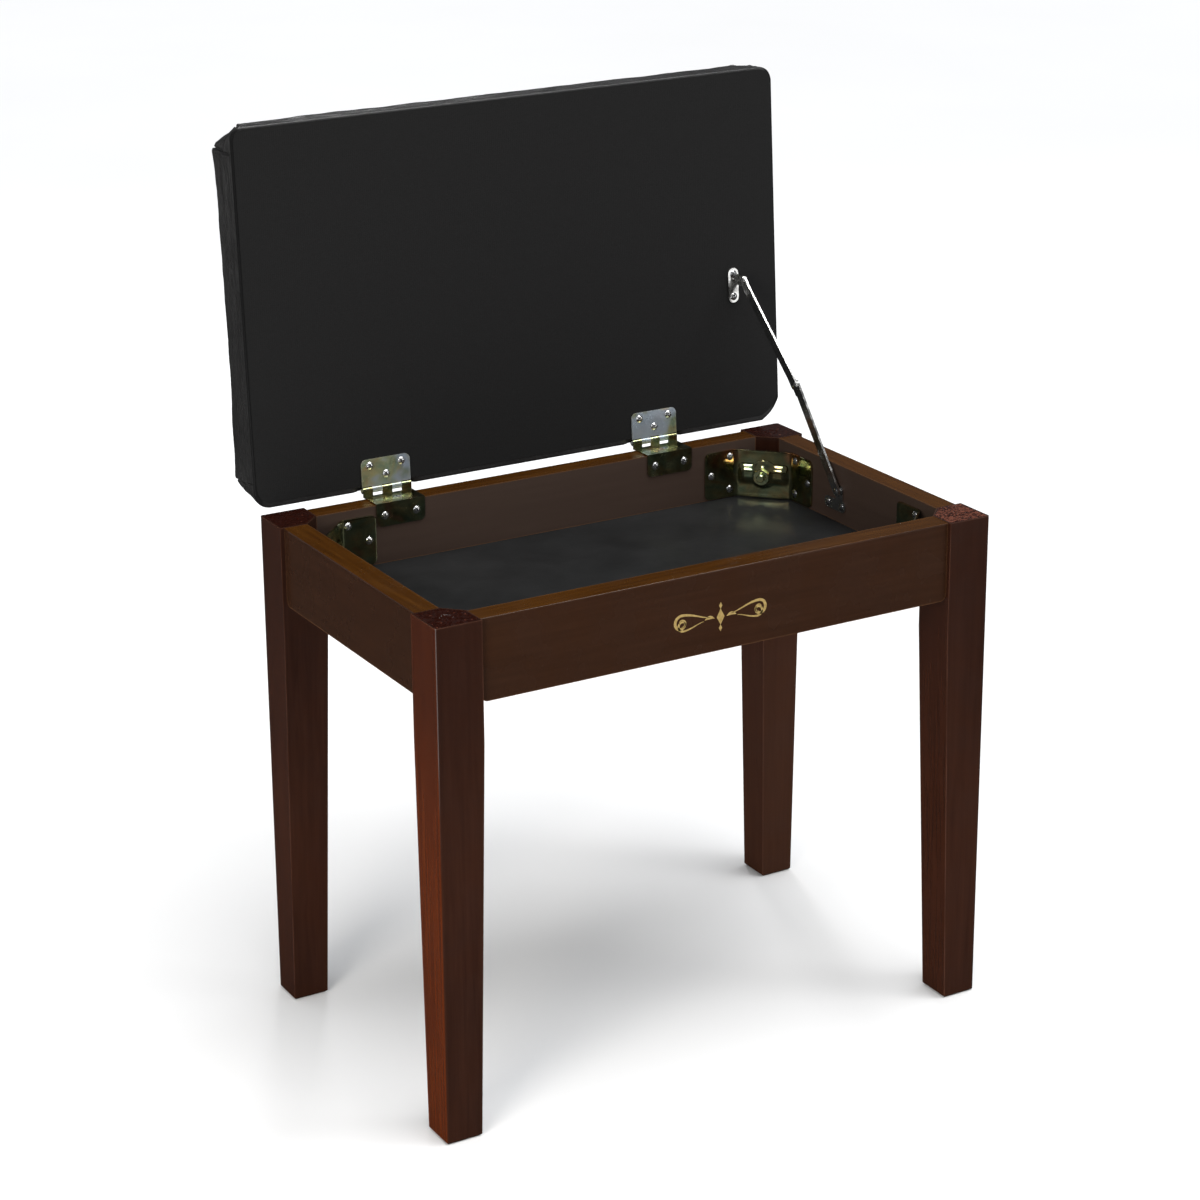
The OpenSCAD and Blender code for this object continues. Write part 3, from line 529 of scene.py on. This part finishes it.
def seat_mesh(step):
    """The pad as one closed skin of quads, with x and u measured from its middle."""
    xs, us = spaced(HX, step, 10), spaced(HU, step, 10)
    nx, nu = len(xs), len(us)
    rim = rim_of(nx - 1, nu - 1)
    # (inset, height) from the underside's edge up to the seat's
    rows = [(ROLL_LOW * (1 - math.sin(t)), ROLL_LOW * (1 - math.cos(t))) for t in quarter(5)]
    side = 26
    low, high = ROLL_LOW, THICK - ROLL_TOP
    rows += [(0.0, low + (high - low) * k / side) for k in range(1, side)]
    turns = [math.radians(min(90, 13 * k)) for k in range(8)]
    rows += [(ROLL_TOP * (1 - math.cos(t)), high + ROLL_TOP * math.sin(t)) for t in turns]
    bm = bmesh.new()
    verts = {}
    for r, (inset, w) in enumerate(rows):
        for k, (i, j) in enumerate(rim):
            x, u = grid_point(xs[i], us[j], CORNER - inset)
            verts["rim", r, k] = bm.verts.new((x, u, w))
    for r in range(len(rows) - 1):
        for k in range(len(rim)):
            n = (k + 1) % len(rim)
            bm.faces.new([verts["rim", r, k], verts["rim", r, n], verts["rim", r + 1, n], verts["rim", r + 1, k]])
    on_rim = {ij: k for k, ij in enumerate(rim)}
    for face, r in (("low", 0), ("top", len(rows) - 1)):
        inset, w = rows[r]
        for i in range(nx):
            for j in range(nu):
                if (i, j) in on_rim:
                    verts[face, i, j] = verts["rim", r, on_rim[i, j]]
                else:
                    x, u = grid_point(xs[i], us[j], CORNER - inset)
                    verts[face, i, j] = bm.verts.new((x, u, w))
        for i in range(nx - 1):
            for j in range(nu - 1):
                q = [verts[face, i, j], verts[face, i + 1, j], verts[face, i + 1, j + 1], verts[face, i, j + 1]]
                bm.faces.new(q if face == "top" else q[::-1])
    bmesh.ops.recalc_face_normals(bm, faces=bm.faces)
    return made(bm, "seat_cushion")


def place_in_lid(obj):
    """From (x, u from the pad's middle, w) to the row frame. The top edge drops a little to the left."""
    for v in obj.data.vertices:
        x, u, w = v.co
        u -= SKEW * (HX - x) / (2 * HX) * (u + HU) / (2 * HU)
        v.co = lid_point(x, u + U0 + HU, w)
    obj.data.update()


def puff(obj, frames, cap, held):
    """Swells obj like a stuffed cover, with the points that held(co) picks kept in place."""
    start = [v.co.copy() for v in obj.data.vertices]
    group = obj.vertex_groups.new(name="held")
    group.add([v.index for v in obj.data.vertices if held(v.co)], 1.0, "REPLACE")
    cloth = obj.modifiers.new("puff", "CLOTH")
    c = cloth.settings
    c.quality = 5
    c.mass = 0.25
    c.tension_stiffness = c.compression_stiffness = 30
    c.shear_stiffness = 12
    c.bending_stiffness = 1.2
    c.air_damping = 2.0
    c.use_pressure = True
    c.uniform_pressure_force = 4.0
    c.vertex_group_mass = "held"
    c.effector_weights.gravity = 0.0
    cloth.point_cache.frame_start, cloth.point_cache.frame_end = 1, frames
    scene = bpy.context.scene
    for f in range(1, frames + 1):
        scene.frame_set(f)
    done = obj.evaluated_get(bpy.context.evaluated_depsgraph_get())
    moved = [v.co.copy() for v in done.data.vertices]
    obj.modifiers.remove(cloth)
    scene.frame_set(1)
    for v, a, b in zip(obj.data.vertices, start, moved):
        d = b - a
        v.co = a + (d if d.length <= cap else d.normalized() * cap)
    obj.vertex_groups.remove(group)
    obj.data.update()


def subdivide(obj, levels):
    mod = obj.modifiers.new("smooth", "SUBSURF")
    mod.levels = mod.render_levels = levels
    dense = bpy.data.meshes.new_from_object(obj.evaluated_get(bpy.context.evaluated_depsgraph_get()))
    obj.modifiers.remove(mod)
    old, obj.data = obj.data, dense
    bpy.data.meshes.remove(old)
    obj.data.name = obj.name


# each corner's cut, by the signs of (x, u): how far it reaches along the long and the short side and how full it is,
# in mm, at the underside and at the seat
CUTS = {(-1, 1): ((6, 6, 0.5), (24, 19.5, 0.6)), (1, 1): ((13, 13, 3.6), (17, 16, 2.6)),
        (-1, -1): ((14, 14, 3.8), (19, 18, 0.8)), (1, -1): ((19, 20, 2.4), (21, 21, 1.4))}


def cut_size(x, u, w):
    low, high = CUTS[1 if x > 0 else -1, 1 if u > 0 else -1]
    k = min(1.0, max(0.0, w / CUT_TOP))
    return [(p + (q - p) * k) * 0.001 for p, q in zip(low, high)]


def cut_corner(x, u, w, depth=0.020):
    """Presses the outline flat across a corner. What lies within depth of it is squeezed inwards to make room."""
    a, b, full = cut_size(x, u, w)
    size = math.hypot(a, b)
    nx, nu = b / size, a / size
    px, pu = abs(x), abs(u)
    # s is how far the point is past the cut, and q runs from -1 to 1 along it
    s = (px - HX) * nx + (pu - HU) * nu + a * b / size
    q = 2 * ((px - HX + a / 2) * a - (pu - HU + b / 2) * b) / size / size
    if abs(q) >= 1 or s < -depth:
        return x, u
    # t is how far on the rounded outline is
    t = min((HX - px) / nx, (HU - pu) / nu)
    if px + nx * t > HX - CORNER and pu + nu * t > HU - CORNER:
        dx, du = px - HX + CORNER, pu - HU + CORNER
        dn = dx * nx + du * nu
        t = min(t, math.sqrt(max(0.0, dn * dn - dx * dx - du * du + CORNER * CORNER)) - dn)
    full *= 1 - q * q
    if s + t <= full:
        return x, u
    move = (s + depth) * (depth + full) / (depth + s + t) - depth - s
    return math.copysign(px + nx * move, x), math.copysign(pu + nu * move, u)


def wander(x, u, scale, seed):
    return noise.noise(Vector((x * scale, u * scale, seed)))


def dress(obj):
    """Pulls the vinyl into its folds: pleated corners, the long creases in the sides, and the gathers that run in from
    the corners over the padding.
    """
    mesh = obj.data
    normals = [v.normal.copy() for v in mesh.vertices]
    for v, n in zip(mesh.vertices, normals):
        x, u, w = v.co
        outward = math.hypot(n.x, n.y)
        side = smooth01((w - 0.0015) / 0.003) * smooth01((outward - 0.25) / 0.45)
        a, b, _ = cut_size(x, u, w)
        to_short, to_long = HX - abs(x), HU - abs(u)
        long_side = to_long < 0.006 and abs(n.y) > 0.6 * outward
        short_side = to_short < 0.006 and abs(n.x) > 0.6 * outward
        move = 0.0
        flap = FLAP - 0.0035 * w / CUT_TOP + 0.0008 * wander(x, u, 60, 3.0)
        if short_side and side > 0:
            # the folded edge of the vinyl, with the gap behind it
            over = to_long - flap
            move += 0.0011 * smooth01((over + 0.0004) / 0.0008) * math.exp(-max(0.0, over) / 0.010) * side
            move -= 0.0013 * bell(over + 0.0010, 0.0010) * side
        if long_side and side > 0:
            over = to_short - a
            move -= 0.0016 * bell(over - 0.0006, 0.0010) * side * smooth01((w - 0.001) / 0.006)
            move += 0.0005 * bell(over - 0.0032, 0.0016) * side
        # the long crease that the vinyl took where it was folded in its box
        reach = to_long - flap if short_side else to_short - a
        away = smooth01((reach - 0.002) / 0.012)
        if side > 0 and away > 0:
            middle = 0.0250 - 0.006 * u + 0.006 * math.exp(-reach / 0.010)
            middle += 0.0026 * wander(x, u, 13, 7.0) + 0.0010 * wander(x, u, 60, 1.5)
            strength = 0.75 + 0.45 * wander(x, u, 16, 5.0)
            move -= 0.0026 * bell(w - middle, 0.0013) * strength * away * side
            move += 0.0012 * bell(w - middle - 0.0040, 0.0026) * strength * away * side
            # waves and small wrinkles
            move += 0.0008 * wander(x, u + w * 3, 24, 9.0) * side
            move += 0.00055 * wander(x + w * 5, u - w * 5, 75, 6.0) * side
            # a second crease that comes and goes above the board
            second = 0.0125 + 0.002 * wander(x, u, 14, 2.0)
            move -= 0.0012 * bell(w - second, 0.0022) * max(0.0, wander(x, u, 9, 4.0) + 0.1) * side
        # gathers that run in from each corner over the padding
        span = math.hypot(to_short, to_long)
        gather = math.sin(math.atan2(to_long, to_short) * 14) * smooth01((w - 0.034) / 0.01)
        move += 0.00040 * gather * math.exp(-(span / 0.045) ** 2) * smooth01((span - 0.016) / 0.012)
        move += 0.0003 * wander(x, u, 8, 12.0) * smooth01((w - 0.04) / 0.008)
        v.co += n * move
        v.co.x, v.co.y = cut_corner(v.co.x, v.co.y, v.co.z)
        # dented where each hinge's barrel lies against it
        over = HU + U0 + v.co.y
        if over < 0.0036 and w < 0.014:
            dent = math.sqrt(max(0.0, BARREL ** 2 - over * over))
            for at in LEAVES:
                v.co.z += dent * smooth01((0.0300 - abs(x - at)) / 0.003) * smooth01((0.014 - w) / 0.012)
    mesh.update()


def cushion():
    obj = seat_mesh(0.0065)
    # the crown of the seat, and the sides pulled in between the corners
    for v in obj.data.vertices:
        x, u, w = v.co
        up = smooth01((w - 0.012) / 0.03)
        crown = (1 - (x / HX) ** 4) * (1 - (u / HU) ** 4)
        v.co.z += (0.0042 * crown - 0.0014) * smooth01((w - 0.030) / 0.012)
        hug = 0.0006 * up
        if abs(x) > HX - CORNER:
            v.co.x -= math.copysign(hug * (1 - min(1, abs(u) / HU) ** 2), x)
        if abs(u) > HU - CORNER:
            v.co.y -= math.copysign(hug * (1 - min(1, abs(x) / HX) ** 2), u)
        if u > HU - 0.02:
            v.co.y -= 0.0034 * (HX - x) / (2 * HX) * up
    puff(obj, 16, 0.0014, lambda co: co.z < 0.007)
    subdivide(obj, 1)
    dress(obj)
    place_in_lid(obj)
    shade_smooth(obj)
    return obj


seat = cushion()
seat.data.materials.append(vinyl())
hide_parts("seat_cover", "seat_foam")
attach(seat, "lid")


def base_board():
    """The plywood inside the cover, with its lower arris eased so that the vinyl rolls over it."""
    inset, low, high, ease = 0.0034, 0.0002, 0.0120, 0.002
    outline = []
    for sx, su, first in ((1, 1, 0), (-1, 1, 90), (-1, -1, 180), (1, -1, 270)):
        for k in range(9):
            a = math.radians(first + 90 * k / 8)
            outline.append((sx * (HX - CORNER), su * (HU - CORNER), math.cos(a), math.sin(a)))
    rows = [(ease * (1 - math.sin(a)), low + ease * (1 - math.cos(a))) for a in quarter(4)]
    rows.append((0.0, high))
    bm = bmesh.new()
    loops = []
    for d, w in rows:
        r = CORNER - inset - d
        loop = [cut_corner(cx + r * c, cu + r * s, w) for cx, cu, c, s in outline]
        loops.append([bm.verts.new((x, u + (0.0014 if u < 0 else 0.0), w)) for x, u in loop])
    for a, b in zip(loops, loops[1:]):
        for k in range(len(outline)):
            n = (k + 1) % len(outline)
            bm.faces.new([a[k], a[n], b[n], b[k]])
    bm.faces.new(loops[0][::-1])
    bm.faces.new(loops[-1])
    obj = made(bm, "seat_baseboard")
    place_in_lid(obj)
    return obj


board = base_board()
board.data.materials.append(plywood())
shade_smooth(board, 0.6)
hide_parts("seat_board")
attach(board, "lid")


def lining_sheet():
    """The stapled cloth under the board, a flat sheet laid just inside the cover's edge."""
    inset = 0.0022
    w, d = 2 * (HX - inset), 2 * (HU - inset) - 0.003
    bm = bmesh.new()
    nx, nu = 60, 38
    xs = [-1 + 2 * i / nx for i in range(nx + 1)]
    us = [-1 + 2 * j / nu for j in range(nu + 1)]
    grid = {}
    for i, a in enumerate(xs):
        for j, b in enumerate(us):
            x, u = a * (HX - inset), b * (HU - inset)
            cx, cu = HX - CORNER, HU - CORNER
            if abs(x) > cx and abs(u) > cu:
                r = CORNER - inset
                px, pu = (abs(x) - cx) / r, (abs(u) - cu) / r
                dx, du = corner_disc(px, pu, r)
                x, u = math.copysign(cx + dx, x), math.copysign(cu + du, u)
            sag = 0.00012 * wander(x, u, 30, 4.0)
            x, u = cut_corner(x, u, 0.0)
            if u < 0:
                u += 0.0030 * smooth01((-u - 0.10) / 0.05)
            grid[i, j] = bm.verts.new((x, u, -0.00040 + sag))
    for i in range(nx):
        for j in range(nu):
            bm.faces.new([grid[i, j], grid[i, j + 1], grid[i + 1, j + 1], grid[i + 1, j]])
    obj = made(bm, "seat_lining")
    place_in_lid(obj)
    return obj, w, d


lining_obj, lw, ld = lining_sheet()
lining_obj.data.materials.append(lining())
shade_smooth(lining_obj)
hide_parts("seat_dust_cloth")
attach(lining_obj, "lid")

# ------------------------------------------------------------------ corner brackets


def crossings(half, corner, step, round_lines):
    """Line positions over -half to half, with one line exactly where each rounded corner starts."""
    flat = half - corner
    n = max(2, round(2 * flat / step))
    ends = [corner * (k + 1) / round_lines for k in range(round_lines)]
    middle = [-flat + 2 * flat * k / n for k in range(n + 1)]
    return [-flat - e for e in reversed(ends)] + middle + [flat + e for e in ends]


def bracket(node):
    """A pressed corner plate: two flanges on the rails, and between them a web with a rib and the bolt's dome."""
    low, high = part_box(node)
    sx, sy = (1 if low.x > 0 else -1), (1 if (low + high).y / 2 > FRAME_Y else -1)
    corner = Vector((high.x if sx > 0 else low.x, high.y if sy > 0 else low.y))
    fold, flange, thick, bend = 0.039, 0.034, 0.0016, 0.0035
    web = fold * math.sqrt(2) / 2
    long, tall, r = web + flange, (high.z - low.z) / 2, 0.0055
    a, b = corner + Vector((-sx * fold, 0)), corner + Vector((0, -sy * fold))
    mid = (a + b) / 2
    along = (b - a).normalized()

    def path(s):
        e = abs(s) - web
        side = math.copysign(1, s)
        d = Vector((0, -sy)) if side > 0 else Vector((-sx, 0))
        tip = b if side > 0 else a
        if e <= -bend:
            return mid + along * s
        if e >= bend:
            return tip + d * e
        t = (e + bend) / (2 * bend)
        p0, p2 = tip - along * side * bend, tip + d * bend
        return p0 * (1 - t) ** 2 + tip * 2 * t * (1 - t) + p2 * t * t

    def face(s):
        t = path(s + 1e-5) - path(s - 1e-5)
        n = Vector((-t.y, t.x)).normalized()
        return n if n.dot(mid - corner) > 0 else -n

    def press(s, h):
        rib = 0.0030 * smooth01(1.25 - abs(h) / 0.0088) * smooth01((web - 0.0015 - abs(s)) / 0.008)
        q = math.hypot(s, h) / 0.013
        dome = 0.0050 * max(0.0, 1 - q * q) ** 0.75
        lip = 0.0005 * smooth01((abs(h) - tall + 0.004) / 0.004) * smooth01((web - 0.004 - abs(s)) / 0.01)
        return max(rib, dome) + 0.15 * min(rib, dome) * smooth01(q - 0.5) + lip

    ss, hs = crossings(long, r, 0.0012, 5), crossings(tall, r, 0.0012, 5)
    bm = bmesh.new()
    grid = {}
    for i, s0 in enumerate(ss):
        for j, h0 in enumerate(hs):
            s, h = s0, h0
            ds, dh = (abs(s) - (long - r)) / r, (abs(h) - (tall - r)) / r
            if ds > 0 and dh > 0:
                ps, ph = corner_disc(ds, dh, r)
                s, h = math.copysign(long - r + ps, s), math.copysign(tall - r + ph, h)
            p, n, d = path(s), face(s), press(s, h)
            ease = 0.00025 * bell(min(long - abs(s0), tall - abs(h0)), 0.0005)
            z = low.z + tall + h
            for skin, off in (("front", thick + d - ease), ("back", d + 0.00003 + 0.4 * ease)):
                q = p + n * off
                grid[skin, i, j] = bm.verts.new((q.x, q.y, z))
    ni, nj = len(ss) - 1, len(hs) - 1
    for i in range(ni):
        for j in range(nj):
            around = ((i, j), (i + 1, j), (i + 1, j + 1), (i, j + 1))
            bm.faces.new([grid[("front", *ij)] for ij in around])
            bm.faces.new([grid[("back", *around[k])] for k in (0, 3, 2, 1)])
    rim = rim_of(ni, nj)
    for k, ij in enumerate(rim):
        n = rim[(k + 1) % len(rim)]
        bm.faces.new([grid[("front", *ij)], grid[("back", *ij)], grid[("back", *n)], grid[("front", *n)]])
    bmesh.ops.recalc_face_normals(bm, faces=bm.faces)
    obj = made(bm, node + "_pressed")
    shade_smooth(obj, 0.9)
    obj.data.materials.append(PLATE)
    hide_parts(node)
    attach(obj, "frame")


for node in ("bracket_fl", "bracket_fr", "bracket_bl", "bracket_br"):
    bracket(node)

# ------------------------------------------------------------------ leg tops


def leg_top(node, seed, coarse):
    """The rough sealed end of a leg, with the ring of drips round its filled centre hole. coarse is how rough it is."""
    low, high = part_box(node)
    middle = (low + high) / 2
    half = (high.x - low.x) / 2
    out_x, out_y = math.copysign(1, middle.x), math.copysign(1, middle.y - FRAME_Y)
    # the rim left clear, the bevel of the inner corner and the grid
    edge, cut, n = 0.0016, 0.016, 72
    # the front legs' coat was pressed low by the shut lid
    room = 0.00062 if middle.y < 0 else 0.0020
    drips = []
    for k in range(11):
        a = TAU * k / 11 + 0.35 * noise.noise(Vector((k * 3.1, seed, 0)))
        r = 0.0054 + 0.0016 * noise.noise(Vector((k * 1.7, seed, 5)))
        size = 0.0008 + 0.0006 * abs(noise.noise(Vector((k * 0.7, seed, 9))))
        tall = 0.0006 + 0.0009 * abs(noise.noise(Vector((k * 0.7, seed, 2))))
        drips.append((r * math.cos(a), r * math.sin(a), size, tall))
    bm = bmesh.new()
    grid = {}
    reach = half - edge
    limit = 2 * half - cut - 1.5 * edge
    for i in range(n + 1):
        for j in range(n + 1):
            a, b = -reach + 2 * reach * i / n, -reach + 2 * reach * j / n
            over = -(a + b) - limit
            if over > 0:
                a, b = a + over / 2, b + over / 2
            lift = min(half - abs(a), half - abs(b), (limit + 1.5 * edge + a + b) / 1.41) - edge * 0.6
            fade = smooth01(lift / 0.0022)
            h = 0.00007 * wander(a, b, 260, seed) + 0.00008
            h += coarse * 0.00055 * abs(wander(a, b, 520, seed + 3))
            h += 0.0001 * wander(a, b, 90, seed + 7)
            for da, db, size, tall in drips:
                h += tall * bell(math.hypot(a - da, b - db), size)
            h -= 0.00035 * bell(math.hypot(a, b), 0.0035)
            h = room * (1 - math.exp(-max(0.0, h) / room))
            grid[i, j] = bm.verts.new((middle.x + out_x * a, middle.y + out_y * b, high.z + 0.00003 + h * fade))
    for i in range(n):
        for j in range(n):
            q = [grid[i, j], grid[i + 1, j], grid[i + 1, j + 1], grid[i, j + 1]]
            bm.faces.new(q if out_x * out_y > 0 else q[::-1])
    bmesh.ops.dissolve_degenerate(bm, dist=1e-6, edges=bm.edges)
    obj = made(bm, node + "_top")
    shade_smooth(obj)
    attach(obj, "frame")
    return obj


END_DARK, END_PALE = wood_end("Leg_End_Dark", 0.02), wood_end("Leg_End_Chipped", 0.62)
for node, seed, coarse, skin in (("leg_fl", 1.0, 0.3, END_DARK), ("leg_fr", 2.3, 1.0, END_PALE),
                                 ("leg_bl", 3.7, 0.15, END_DARK), ("leg_br", 5.1, 0.25, END_DARK)):
    leg_top(node, seed, coarse).data.materials.append(skin)

# ------------------------------------------------------------------ the gold scroll on the front rail


def ribbon(bm, points, width, y, thick):
    """A flat stroke along points (x, z), as wide as width(0 to 1) says."""
    last = None
    count = len(points) - 1
    for k, (x, z) in enumerate(points):
        ax, az = points[max(0, k - 1)]
        bx, bz = points[min(count, k + 1)]
        d = Vector((bx - ax, bz - az)).normalized()
        h = width(k / count) / 2
        sides = [(x - d.y * h, z + d.x * h), (x + d.y * h, z - d.x * h)]
        now = [bm.verts.new((px, py, pz)) for py in (y, y + thick) for px, pz in sides]
        if last:
            for a, b in ((0, 1), (1, 3), (3, 2), (2, 0)):
                bm.faces.new([last[a], last[b], now[b], now[a]])
        else:
            bm.faces.new([now[0], now[1], now[3], now[2]])
        last = now
    bm.faces.new([last[0], last[2], last[3], last[1]])


def scroll_ornament():
    """Two mirrored pairs of spirals and leaves beside a row of three lozenges, laid out in mm from the middle."""
    low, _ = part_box("rail_front")
    y, thick = low.y - 0.00012, 0.00020
    cx, cz, mm, bold = -0.0033, 0.4142, 0.001, 1.28
    bm = bmesh.new()
    for s in (-1, 1):
        for up, start, size, turn in ((1, 8.0, 1.0, 1.35), (-1, 13.0, 0.72, 1.15)):
            stem = []
            for k in range(22):
                t = k / 21
                stem.append((start + 22 * size * t, up * (1.0 + 5.2 * size * math.sin(math.pi * 0.5 * t) ** 1.5)))
            ex, ez = stem[-1]
            r0 = 5.4 * size
            for k in range(1, 46):
                t = k / 45
                a = math.pi / 2 - TAU * turn * t
                r = r0 * (1 - 0.80 * t)
                stem.append((ex + r * math.cos(a), ez + up * (-r0 + r * math.sin(a))))
            pts = [(cx + s * x * mm * bold, cz + z * mm * bold) for x, z in stem]
            swell = lambda t, q=size: (0.55 + 2.1 * math.sin(math.pi * min(1, t * 1.1)) ** 1.3) * q * mm
            ribbon(bm, pts, swell, y, thick)
        leaf = [(6.0 + 9.5 * k / 12, -0.4 + 1.6 * math.sin(math.pi * k / 12)) for k in range(13)]
        leaf = [(cx + s * x * mm, cz + z * mm) for x, z in leaf]
        ribbon(bm, leaf, lambda t: (0.3 + 2.6 * math.sin(math.pi * t)) * mm, y, thick)
    for size, rise in ((1.0, 0.0), (0.42, 8.2), (0.42, -8.2)):
        gem = [(cx, cz + (1.2 * rise + size * (-7.0 + 14.0 * k / 14)) * mm) for k in range(15)]
        ribbon(bm, gem, lambda t, q=size: max(0.12, 7.6 * q * (1 - abs(2 * t - 1))) * mm, y, thick)
    bmesh.ops.recalc_face_normals(bm, faces=bm.faces)
    obj = made(bm, "rail_scroll")
    obj.data.materials.append(gold_leaf())
    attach(obj, "frame")


scroll_ornament()

# ------------------------------------------------------------------ floor, light and camera


def floor():
    """A pale disc, 40 m in radius, that the lacquer and the metal mirror as a dark one."""
    bm = bmesh.new()
    rings, spokes, last = 12, 96, None
    turns = [TAU * k / spokes for k in range(spokes)]
    centre = bm.verts.new((0, 0, 0))
    for r in range(1, rings + 1):
        radius = 40.0 * (r / rings) ** 2.2
        now = [bm.verts.new((radius * math.cos(a), radius * math.sin(a), 0)) for a in turns]
        for k in range(spokes):
            n = (k + 1) % spokes
            bm.faces.new([centre, now[k], now[n]] if last is None else [last[k], now[k], now[n], last[n]])
        last = now
    obj = made(bm, "studio_floor")
    f = Finish("Studio_Floor", Roughness=0.9, Specular_IOR_Level=0.1)
    f.colour(f.ramp(f.noise(0.8, detail=3), [(0.2, (0.90, 0.90, 0.90)), (0.8, (0.94, 0.94, 0.94))]))
    dark = f.new("ShaderNodeBsdfDiffuse")
    dark.inputs["Color"].default_value = (0.025, 0.024, 0.023, 1)
    path, mix = f.new("ShaderNodeLightPath"), f.new("ShaderNodeMixShader")
    out = f.tree.nodes["Material Output"]
    f.link(f.times(path.outputs["Is Glossy Ray"], 0.98), mix.inputs["Fac"])
    f.link(f.bsdf.outputs["BSDF"], mix.inputs[1])
    f.link(dark.outputs["BSDF"], mix.inputs[2])
    f.link(mix.outputs["Shader"], out.inputs["Surface"])
    obj.data.materials.append(f.mat)


def lamp(name, kind, at, aim, energy, size=1.0, size_y=None, colour=(1, 1, 1), diffuse=True, glossy=True):
    """size is a sun's angle in radians or an area lamp's width in metres. A card only shows in what is glossy."""
    data = bpy.data.lights.new(name, kind)
    data.energy = energy
    data.color = colour
    if kind == "AREA":
        data.shape = "RECTANGLE"
        data.size, data.size_y = size, size_y or size
    else:
        data.angle = size
    obj = bpy.data.objects.new(name, data)
    obj.location = at
    obj.rotation_euler = (Vector(aim) - Vector(at)).to_track_quat("-Z", "Y").to_euler()
    obj.visible_camera = False
    obj.visible_diffuse, obj.visible_glossy = diffuse, glossy
    bpy.context.scene.collection.objects.link(obj)


def world():
    """Soft light all round, white behind the bench, and dark where it would be mirrored."""
    w = bpy.data.worlds.new("Studio")
    w.use_nodes = True
    bpy.context.scene.world = w
    t = w.node_tree
    out = t.nodes["World Output"]
    path = t.nodes.new("ShaderNodeLightPath")
    soft = t.nodes["Background"]
    soft.inputs["Color"].default_value = (0.93, 0.96, 1.0, 1)
    soft.inputs["Strength"].default_value = 0.40
    shade = soft.outputs["Background"]
    for ray, colour in (("Is Glossy Ray", (0.09, 0.09, 0.093, 1)), ("Is Camera Ray", (0.985, 0.985, 0.985, 1))):
        other, mix = t.nodes.new("ShaderNodeBackground"), t.nodes.new("ShaderNodeMixShader")
        other.inputs["Color"].default_value = colour
        t.links.new(path.outputs[ray], mix.inputs["Fac"])
        t.links.new(shade, mix.inputs[1])
        t.links.new(other.outputs["Background"], mix.inputs[2])
        shade = mix.outputs["Shader"]
    t.links.new(shade, out.inputs["Surface"])


def camera():
    data = bpy.data.cameras.new("Camera")
    data.sensor_width = 36.0
    data.sensor_fit = "AUTO"
    data.lens = 89.588
    data.shift_x, data.shift_y = 0.025, -0.100
    data.clip_start, data.clip_end = 0.05, 100
    obj = bpy.data.objects.new("Camera", data)
    obj.location = (-1.26351, -2.15600, 1.27411)
    obj.rotation_euler = (math.radians(72.3527), math.radians(0.5137), math.radians(-29.8767))
    bpy.context.scene.collection.objects.link(obj)
    bpy.context.scene.camera = obj


floor()
world()
camera()
lamp("Sun_Overhead", "SUN", (0.5, -0.6, 3), (0, 0, 0), 2.3, math.radians(50))
lamp("Key_Left", "AREA", (-2.0, -1.3, 1.1), (0, 0, 0.35), 30, 0.9, 1.6, (1.0, 0.95, 0.88), glossy=False)
lamp("Fill_Right", "AREA", (2.1, -1.6, 1.3), (0, 0, 0.35), 12, 0.8, 1.5)
lamp("Back_Strip", "AREA", (0.9, 2.2, 2.0), (0, 0, 0.5), 14, 0.4, 1.6, glossy=False)
# cards that only show as glints on the lacquer, the metal and the vinyl
lamp("Arris_Card", "AREA", (-0.85, -0.53, 0.26), (-0.27, -0.2, 0.30), 2.6, 0.44, 0.44, diffuse=False)
lamp("Glint_High", "AREA", (0.4, 1.2, 2.4), (0, 0, 0.45), 10.0, 0.18, 0.18, diffuse=False)
lamp("Glint_Left", "AREA", (-1.70, -1.10, 1.56), (0.2, 0.1, 0.43), 4.5, 0.34, 0.40, diffuse=False)
lamp("Leaf_Card", "AREA", (1.30, -1.75, 0.25), (0.1, 0.13, 0.6), 1.3, 0.8, 0.30, diffuse=False)
lamp("Side_Card", "AREA", (-1.35, 1.90, 0.55), (-0.27, 0.15, 0.65), 0.75, 0.5, 0.5, diffuse=False)
lamp("Glint_Right", "AREA", (1.1, -0.5, 2.45), (0, 0.13, 0.46), 9.0, 0.45, 0.45, diffuse=False)
bpy.context.scene.view_settings.view_transform = "Standard"
